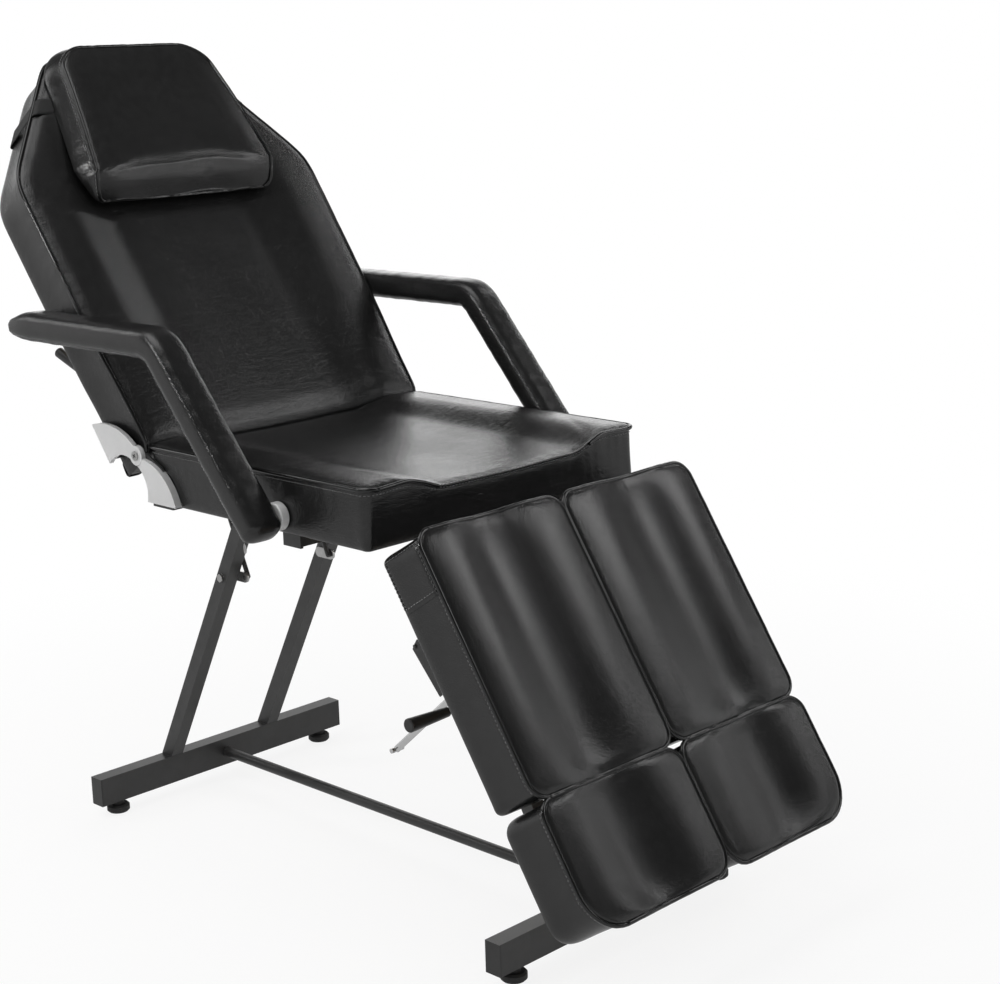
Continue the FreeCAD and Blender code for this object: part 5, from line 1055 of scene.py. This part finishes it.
def even_steps(points, normals, pitch, closed):
    """Points, directions and normals at an even pitch along a line."""
    if closed:
        points = np.vstack([points, points[:1]])
        normals = np.vstack([normals, normals[:1]])
    step = np.linalg.norm(np.diff(points, axis=0), axis=1)
    travel = np.concatenate([[0], np.cumsum(step)])
    count = max(int(travel[-1] / pitch), 1)
    places = (np.arange(count) + 0.5) * travel[-1] / count

    def at(values, shift=0.0):
        return np.stack([np.interp(places + shift, travel, values[:, axis])
                         for axis in range(3)], 1)

    along = unit(at(points, pitch * 0.4) - at(points, -pitch * 0.4))
    facing = at(normals)
    facing = unit(facing - along * np.sum(facing * along, axis=1, keepdims=True))
    return at(points), along, facing


def stitches(name, lines, pitch=STITCH_PITCH):
    """One mesh of stitches over several lines of (points, normals, closed)."""
    vertices, faces = [], []
    for points, normals, closed in lines:
        spots, along, facing = even_steps(points, normals, pitch, closed)
        across = np.cross(along, facing)
        for spot, ahead, out, aside in zip(spots, along, facing, across):
            first = len(vertices)
            for length_share, radius_share, lift in STITCH_PROFILE:
                centre = spot + ahead * STITCH_LENGTH * length_share
                centre = centre + out * STITCH_RADIUS * lift
                radius = STITCH_RADIUS * radius_share
                for side in range(STITCH_SIDES):
                    turn = 2 * math.pi * side / STITCH_SIDES
                    vertices.append(centre + aside * radius * math.cos(turn)
                                    + out * radius * math.sin(turn))
            faces += tube_faces(np.arange(first, len(vertices)).reshape(-1, STITCH_SIDES))
    made = new_piece(name, vertices, faces, painted_sheen_thread)
    print(name, len(faces), "faces")
    return made


def wall_stitches(pad, name, ring_number, part=slice(None), closed=False):
    points, normals = ring_line(pad, pad["rings"][ring_number])
    return stitches(name, [(points[part], normals[part], closed)])


# %% [markdown]
# A finished pad stands in for its CAD piece and rides on the same body, and so do its
# trims. What exists on both sides is made once, at the right, and mirrored to the left.

# %% Placing pieces


def place_piece(made, body):
    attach(made, body)


def dress_pad(made, node, body, trims):
    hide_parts(node)
    for piece in (made, *trims):
        place_piece(piece, body)


def on_side(source, side):
    """The right-hand piece itself, or its mirrored copy with its faces turned back."""
    if side == "right":
        return source
    name = source.name.replace("right", "left")
    mesh = source.data.copy()
    mesh.name = name
    mesh.transform(Matrix.Scale(-1, 4, Vector((1, 0, 0))))
    mesh.flip_normals()
    return link_object(name, mesh)


# %% Sew the leg and foot pads
rest_trims = {}
for part, pad in (("leg", leg_pad), ("foot", foot_pad)):
    rest_trims[part] = (piping(pad, f"{part}_pad_right_piping", closed=True),
                        wall_stitches(pad, f"{part}_pad_right_stitches", 2, closed=True))
for part, pad in (("leg", leg_pad), ("foot", foot_pad)):
    for side in SIDES:
        dress_pad(on_side(pad["object"], side), f"{part}_cushion_{side}", f"{part}_{side}",
                  [on_side(trim, side) for trim in rest_trims[part]])

# %% [markdown]
# Each leg pad has a rectangle sewn on its outer wall, at the hinge end, where the vinyl
# is closed over a reinforcement. The patch is a thin copy of that part of the wall,
# pushed out by its own thickness, with a stitch row inside each edge.

# %% Leg pad patches
PATCH_LIFT = 0.0010
PATCH_START = 0.004
PATCH_LENGTH = 0.088
PATCH_RINGS = (2, 11)
PATCH_STITCH_LIFT = 0.0003


def wall_patch(pad, name):
    """Builds the patch over the pad's outer wall and returns it with its stitch line."""
    rows, columns = pad["grid"].shape
    outer_side = np.arange(2 * columns + rows - 3, len(pad["rings"][0]))
    seam = ring_line(pad, pad["rings"][0][outer_side])[0]
    along = carried(seam, pad["place"].inverted())[:, 1]
    from_head = along.max() - along
    inside = (from_head >= PATCH_START) & (from_head <= PATCH_START + PATCH_LENGTH)
    lines = [ring_line(pad, pad["rings"][number][outer_side[inside]])
             for number in range(PATCH_RINGS[0], PATCH_RINGS[1] + 1)]
    points, normals = [np.array(values) for values in zip(*lines)]
    height, width = points.shape[:2]
    index = np.arange(height * width).reshape(height, width)
    made = new_piece(name, (points + normals * PATCH_LIFT).reshape(-1, 3),
                     grid_faces(index.T), black_vinyl)
    apply_modifier(made, "SOLIDIFY", thickness=PATCH_LIFT, offset=-1.0)
    smooth_faces(made.data)
    border = loop_of(height, width - 2)
    points, normals = [values[:, 1:-1].reshape(-1, 3)[border] for values in (points, normals)]
    return made, (points + normals * (PATCH_LIFT + PATCH_STITCH_LIFT), normals, True)


patch, patch_line = wall_patch(leg_pad, "leg_patch_right")
patch_thread = stitches("leg_patch_right_stitches", [patch_line])
for side in SIDES:
    for piece in (patch, patch_thread):
        place_piece(on_side(piece, side), f"leg_{side}")
print("leg patches", len(patch.data.polygons), "faces each")

# %% Sew the seat
SEAT_PIPING_SHARES = (0.235, 0.80)
seat_front = seam_line(seat_pad)[:seat_pad["grid"].shape[1], 0]
front_shares = (seat_front - seat_low[0]) / (seat_high[0] - seat_low[0])
near_end, far_start = np.searchsorted(front_shares, SEAT_PIPING_SHARES)
around = np.r_[far_start:len(seat_pad["rings"][0]), 0:near_end + 1]
seat_cord = piping(seat_pad, "seat_piping", around)
middle = slice(near_end, far_start + 1)
face_points, face_normals = ring_line(seat_pad, seat_pad["grid"][2, middle])
top_points, top_normals = ring_line(seat_pad, seat_pad["rings"][1])
side_points, side_normals = ring_line(seat_pad, seat_pad["rings"][2])
seat_thread = stitches("seat_stitches", [
    (face_points, face_normals, False),
    (top_points[middle], top_normals[middle], False),
    (side_points[around], side_normals[around], False)])
dress_pad(seat_pad["object"], "seat_cushion", "base", (seat_cord, seat_thread))

# %% Sew the back
back_loop_length = len(back_pad["rings"][0])
sides_and_head = slice(back_pad["grid"].shape[1] + 3, back_loop_length - 3)
back_cord = piping(back_pad, "back_piping", sides_and_head)
back_thread = wall_stitches(back_pad, "back_stitches", 2, sides_and_head)
dress_pad(back_pad["object"], "back_cushion", "back", (back_cord, back_thread))

# %% Sew the pillow
pillow_front = slice(0, pillow_pad["grid"].shape[1])
pillow_rest = slice(pillow_pad["grid"].shape[1], None)
pillow_cord = piping(pillow_pad, "pillow_piping", pillow_rest, share=0.85)
pillow_seam = piping(pillow_pad, "pillow_lip_seam", pillow_front, share=0.5)
pillow_thread = wall_stitches(pillow_pad, "pillow_stitches", 3, pillow_rest)
dress_pad(pillow_pad["object"], "head_pillow", "back",
          (pillow_cord, pillow_seam, pillow_thread))

# %% [markdown]
# An arm pad is a foam sleeve with a rounded, almost square section. It follows the bent
# tube inside it, so rings are set along a straight run, an arc and a second straight
# run, and they shrink at both ends. The vinyl is pulled thinner round the rear tip and
# creases a little inside the bend. A zip closes it along its outer side.

# %% Path of an arm pad
ARM_RUN = 0.210
ARM_THICKNESS = 0.046
ARM_BEND_RADIUS = 0.052
ARM_FOOT = 0.031
arm_low, arm_high = [Vector(corner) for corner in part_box("arm_pad_right")]
arm_pivot = Vector(joints["arm_right_tilt"]["pos_m"])
arm_x = (arm_low.x + arm_high.x) / 2
arm_half = (arm_high.x - arm_low.x) / 2
arm_bend = Vector((arm_x, arm_pivot.y + ARM_RUN, arm_high.z - ARM_THICKNESS / 2))
arm_tip = Vector((arm_x, arm_high.y, arm_bend.z))
lower_way = Vector((0, arm_bend.y - arm_pivot.y, arm_bend.z - arm_pivot.z)).normalized()
upper_way = Vector((0, 1, 0))
arm_foot = Vector((arm_x, arm_pivot.y, arm_pivot.z)) - lower_way * ARM_FOOT
turn = lower_way.angle(upper_way)
bend_reach = ARM_BEND_RADIUS * math.tan(turn / 2)
arc_start = arm_bend - lower_way * bend_reach
lower_length = (arc_start - arm_foot).length
arc_length = ARM_BEND_RADIUS * turn
upper_length = (arm_tip - arm_bend).length - bend_reach
sleeve_length = lower_length + arc_length + upper_length


def sleeve_point(travel):
    """Centre and direction at a distance along the arm pad from its foot."""
    if travel < lower_length:
        return arm_foot + lower_way * travel, lower_way
    if travel < lower_length + arc_length:
        angle = (travel - lower_length) / ARM_BEND_RADIUS
        way = Matrix.Rotation(-angle, 3, "X") @ lower_way
        chord = 2 * ARM_BEND_RADIUS * math.sin(angle / 2)
        return arc_start + (Matrix.Rotation(-angle / 2, 3, "X") @ lower_way) * chord, way
    rest = travel - lower_length - arc_length
    return arm_bend + upper_way * (bend_reach + rest), upper_way


print("arm pad", round(sleeve_length / MM), "mm along its middle")

# %% Arm pads
ARM_STEP = 0.007
ARM_ROUND = 0.017
ARM_END_TURNS = (4, 20, 36, 52, 68, 84)
ARM_END_NARROWING = 0.6
ARM_SECTION_POINTS = 44
ARM_SQUARENESS = 3.3
ARM_TAPER = 0.070
TIP_NARROWING = 0.18
TIP_THINNING = 0.62
TIP_SAG = 0.10
BEND_CREASE = 0.0011
BEND_CREASE_REACH = 0.022
PUCKER = 0.0006
PUCKER_REACH = 0.03


def sleeve_ring(travel, thickness_share, width_share):
    centre, way = sleeve_point(travel)
    out = Vector((1, 0, 0)).cross(way)
    bend_gap = travel - lower_length - arc_length / 2
    taper = max(0.0, 1 - (sleeve_length - travel) / ARM_TAPER) ** 2
    near_bend = math.exp(-(bend_gap / BEND_CREASE_REACH) ** 2)
    near_tip = math.exp(-(sleeve_length - travel) / PUCKER_REACH)
    ring = []
    for step in range(ARM_SECTION_POINTS):
        angle = 2 * math.pi * (step + 0.5) / ARM_SECTION_POINTS
        c, s = math.cos(angle), math.sin(angle)
        across = math.copysign(abs(c) ** (2 / ARM_SQUARENESS), c) * arm_half * width_share
        across = across * (1 - TIP_NARROWING * taper)
        up = math.copysign(abs(s) ** (2 / ARM_SQUARENESS), s) * ARM_THICKNESS / 2
        crease = BEND_CREASE * math.sin(travel * 700 + 2 * c) * near_bend * max(0.0, -s)
        swellings = 0.0005 * math.sin(travel * 61 + 1.3 * c) + 0.0004 * math.sin(travel * 143)
        pucker = PUCKER * math.sin(angle * 11) * near_tip
        up = up * thickness_share + math.copysign(swellings, s) * thickness_share - crease
        up = up * (1 - TIP_THINNING * taper) - ARM_THICKNESS * TIP_SAG * taper
        ring.append(centre + Vector((1, 0, 0)) * (across + c * pucker) + out * (up + s * pucker))
    return ring


end_rows = [(ARM_ROUND * (1 - math.cos(math.radians(angle))), math.sin(math.radians(angle)))
            for angle in ARM_END_TURNS]
arm_steps = round((sleeve_length - 2 * ARM_ROUND) / ARM_STEP)
arm_middle = np.linspace(ARM_ROUND, sleeve_length - ARM_ROUND, arm_steps)
arm_rows = (end_rows + [(travel, 1.0) for travel in arm_middle]
            + [(sleeve_length - travel, share) for travel, share in reversed(end_rows)])
arm_points = []
for travel, share in arm_rows:
    arm_points += sleeve_ring(travel, share, share ** ARM_END_NARROWING)
arm_corners = np.arange(len(arm_points)).reshape(-1, ARM_SECTION_POINTS)
arm_sleeve = new_piece("arm_sleeve_right", arm_points, tube_faces(arm_corners), black_vinyl)
edit_shell(arm_sleeve.data, turn_outwards)
print("arm pads", len(arm_sleeve.data.polygons), "faces each")

# %% [markdown]
# The zip is a dark cord sunk between two rows of stitches, and its pull is a small wire
# loop that hangs at the arm pad's foot.

# %% Zip of the arm pads
ZIP_PLACE = 28
ZIP_RADIUS = 0.0016
ZIP_SINK = 0.0004
ZIP_STITCH_PITCH = 0.0055
ZIP_END_ROWS = 4
PULL_LENGTH = 0.014
PULL_HALF_WIDTH = 0.0018
PULL_WIRE = 0.0012
PULL_GAP = 0.0022


def sleeve_line(place):
    """Points and normals along the sleeve at one place round its section."""
    picked = arm_corners[ZIP_END_ROWS:-ZIP_END_ROWS, place]
    return ring_line({"object": arm_sleeve}, picked)


zip_points, zip_normals = sleeve_line(ZIP_PLACE)
arm_thread = stitches("arm_sleeve_right_stitches",
                      [(*sleeve_line(ZIP_PLACE + step), False) for step in (-1, 1)],
                      ZIP_STITCH_PITCH)
arm_zip = tube("arm_sleeve_right_zip", (zip_points - zip_normals * ZIP_SINK).tolist(),
               ZIP_RADIUS, False, piping_vinyl)
pull_top = zip_points[0] + zip_normals[0] * PULL_GAP
pull_turns = [math.radians(angle) for angle in range(0, 360, 30)]
pull_loop = [(pull_top[0], pull_top[1] + PULL_HALF_WIDTH * math.cos(angle),
              pull_top[2] - PULL_LENGTH * (1 - math.sin(angle)) / 2) for angle in pull_turns]
zip_pull = tube("arm_zip_pull_right", pull_loop, PULL_WIRE, True, zinc_plate)
for side in SIDES:
    dress_pad(on_side(arm_sleeve, side), f"arm_pad_{side}", f"arm_{side}",
              [on_side(trim, side) for trim in (arm_thread, arm_zip)])
    place_piece(on_side(zip_pull, side), f"arm_{side}")
print("zip", len(zip_points), "steps long")

# %% [markdown]
# The pillow hangs on an elastic strap round the back pad. It is a flat band, so it is
# one loop of its width, with rounded turns at the pad's corners and a thickness.

# %% Pillow strap
STRAP_THICKNESS = 0.0014
STRAP_CORNER = 0.010
STRAP_SLACK = 0.0015
STRAP_ROWS = 7
STRAP_TURN = 15
STRAP_TURN_STEPS = 7
STRAP_HEAD_GAP = 0.001
strap_low, strap_high = flat_node("pillow_strap", back_frame)[1:]


def strap_ring(y):
    """Points round the back pad at one place along it, with rounded corners."""
    half = back_edges(min(y, back_high[1] - STRAP_HEAD_GAP))[1] + STRAP_SLACK
    low, high = strap_low[2], strap_high[2]
    corners = ((half, high), (-half, high), (-half, low), (half, low))
    ring = []
    for index, (x, z) in enumerate(corners):
        centre_x = x - math.copysign(STRAP_CORNER, x)
        centre_z = z - (STRAP_CORNER if z == high else -STRAP_CORNER)
        for step in range(STRAP_TURN_STEPS):
            angle = math.radians(STRAP_TURN * step + 90 * index)
            ring.append((centre_x + STRAP_CORNER * math.cos(angle), y,
                         centre_z + STRAP_CORNER * math.sin(angle)))
    return ring


strap_rings = np.array([strap_ring(y)
                        for y in np.linspace(strap_low[1], strap_high[1], STRAP_ROWS)])
strap_corners = np.arange(strap_rings[..., 0].size).reshape(STRAP_ROWS, -1)
strap_faces = []
for ring, other in zip(strap_corners, strap_corners[1:]):
    strap_faces += band_faces(other, ring)
strap = new_piece("elastic_strap", carried(strap_rings.reshape(-1, 3), back_frame),
                  strap_faces, woven_elastic)
edit_shell(strap.data, turn_outwards)
apply_modifier(strap, "SOLIDIFY", thickness=STRAP_THICKNESS, offset=1.0)
smooth_faces(strap.data)
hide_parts("pillow_strap")
place_piece(strap, "back")
print("strap", len(strap.data.polygons), "faces")

# %% [markdown]
# The recline bolts have a cross-shaped recess. Two short dark bars sunk into each head are
# painted shade for that recess: they read as it from any distance, and need no cut in the metal.

# %% Painted shade of the screw recesses
RECESS_REACH = 0.0036
RECESS_RADIUS = 0.0008
RECESS_TILTS = (25, 115)
bolt_low, bolt_high = [Vector(corner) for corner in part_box("hinge_bolts")]
recline_place = Vector(joints["back_recline"]["pos_m"])
for side, bolt_x in zip(SIDES, (bolt_low.x, bolt_high.x)):
    for number, tilt in enumerate(RECESS_TILTS, start=1):
        reach = Vector((0, math.cos(math.radians(tilt)), math.sin(math.radians(tilt))))
        middle = Vector((bolt_x, recline_place.y, recline_place.z))
        bar = [tuple(middle - reach * RECESS_REACH), tuple(middle + reach * RECESS_REACH)]
        # Each bar is painted shade, a dark mark for the hollow of the recess.
        recess = tube(f"hinge_bolt_recess_{side}_{number}", bar, RECESS_RADIUS, False,
                      black_rubber)
        place_piece(recess, "base")
print("recesses in the bolts at", round(bolt_low.x, 4), round(bolt_high.x, 4))
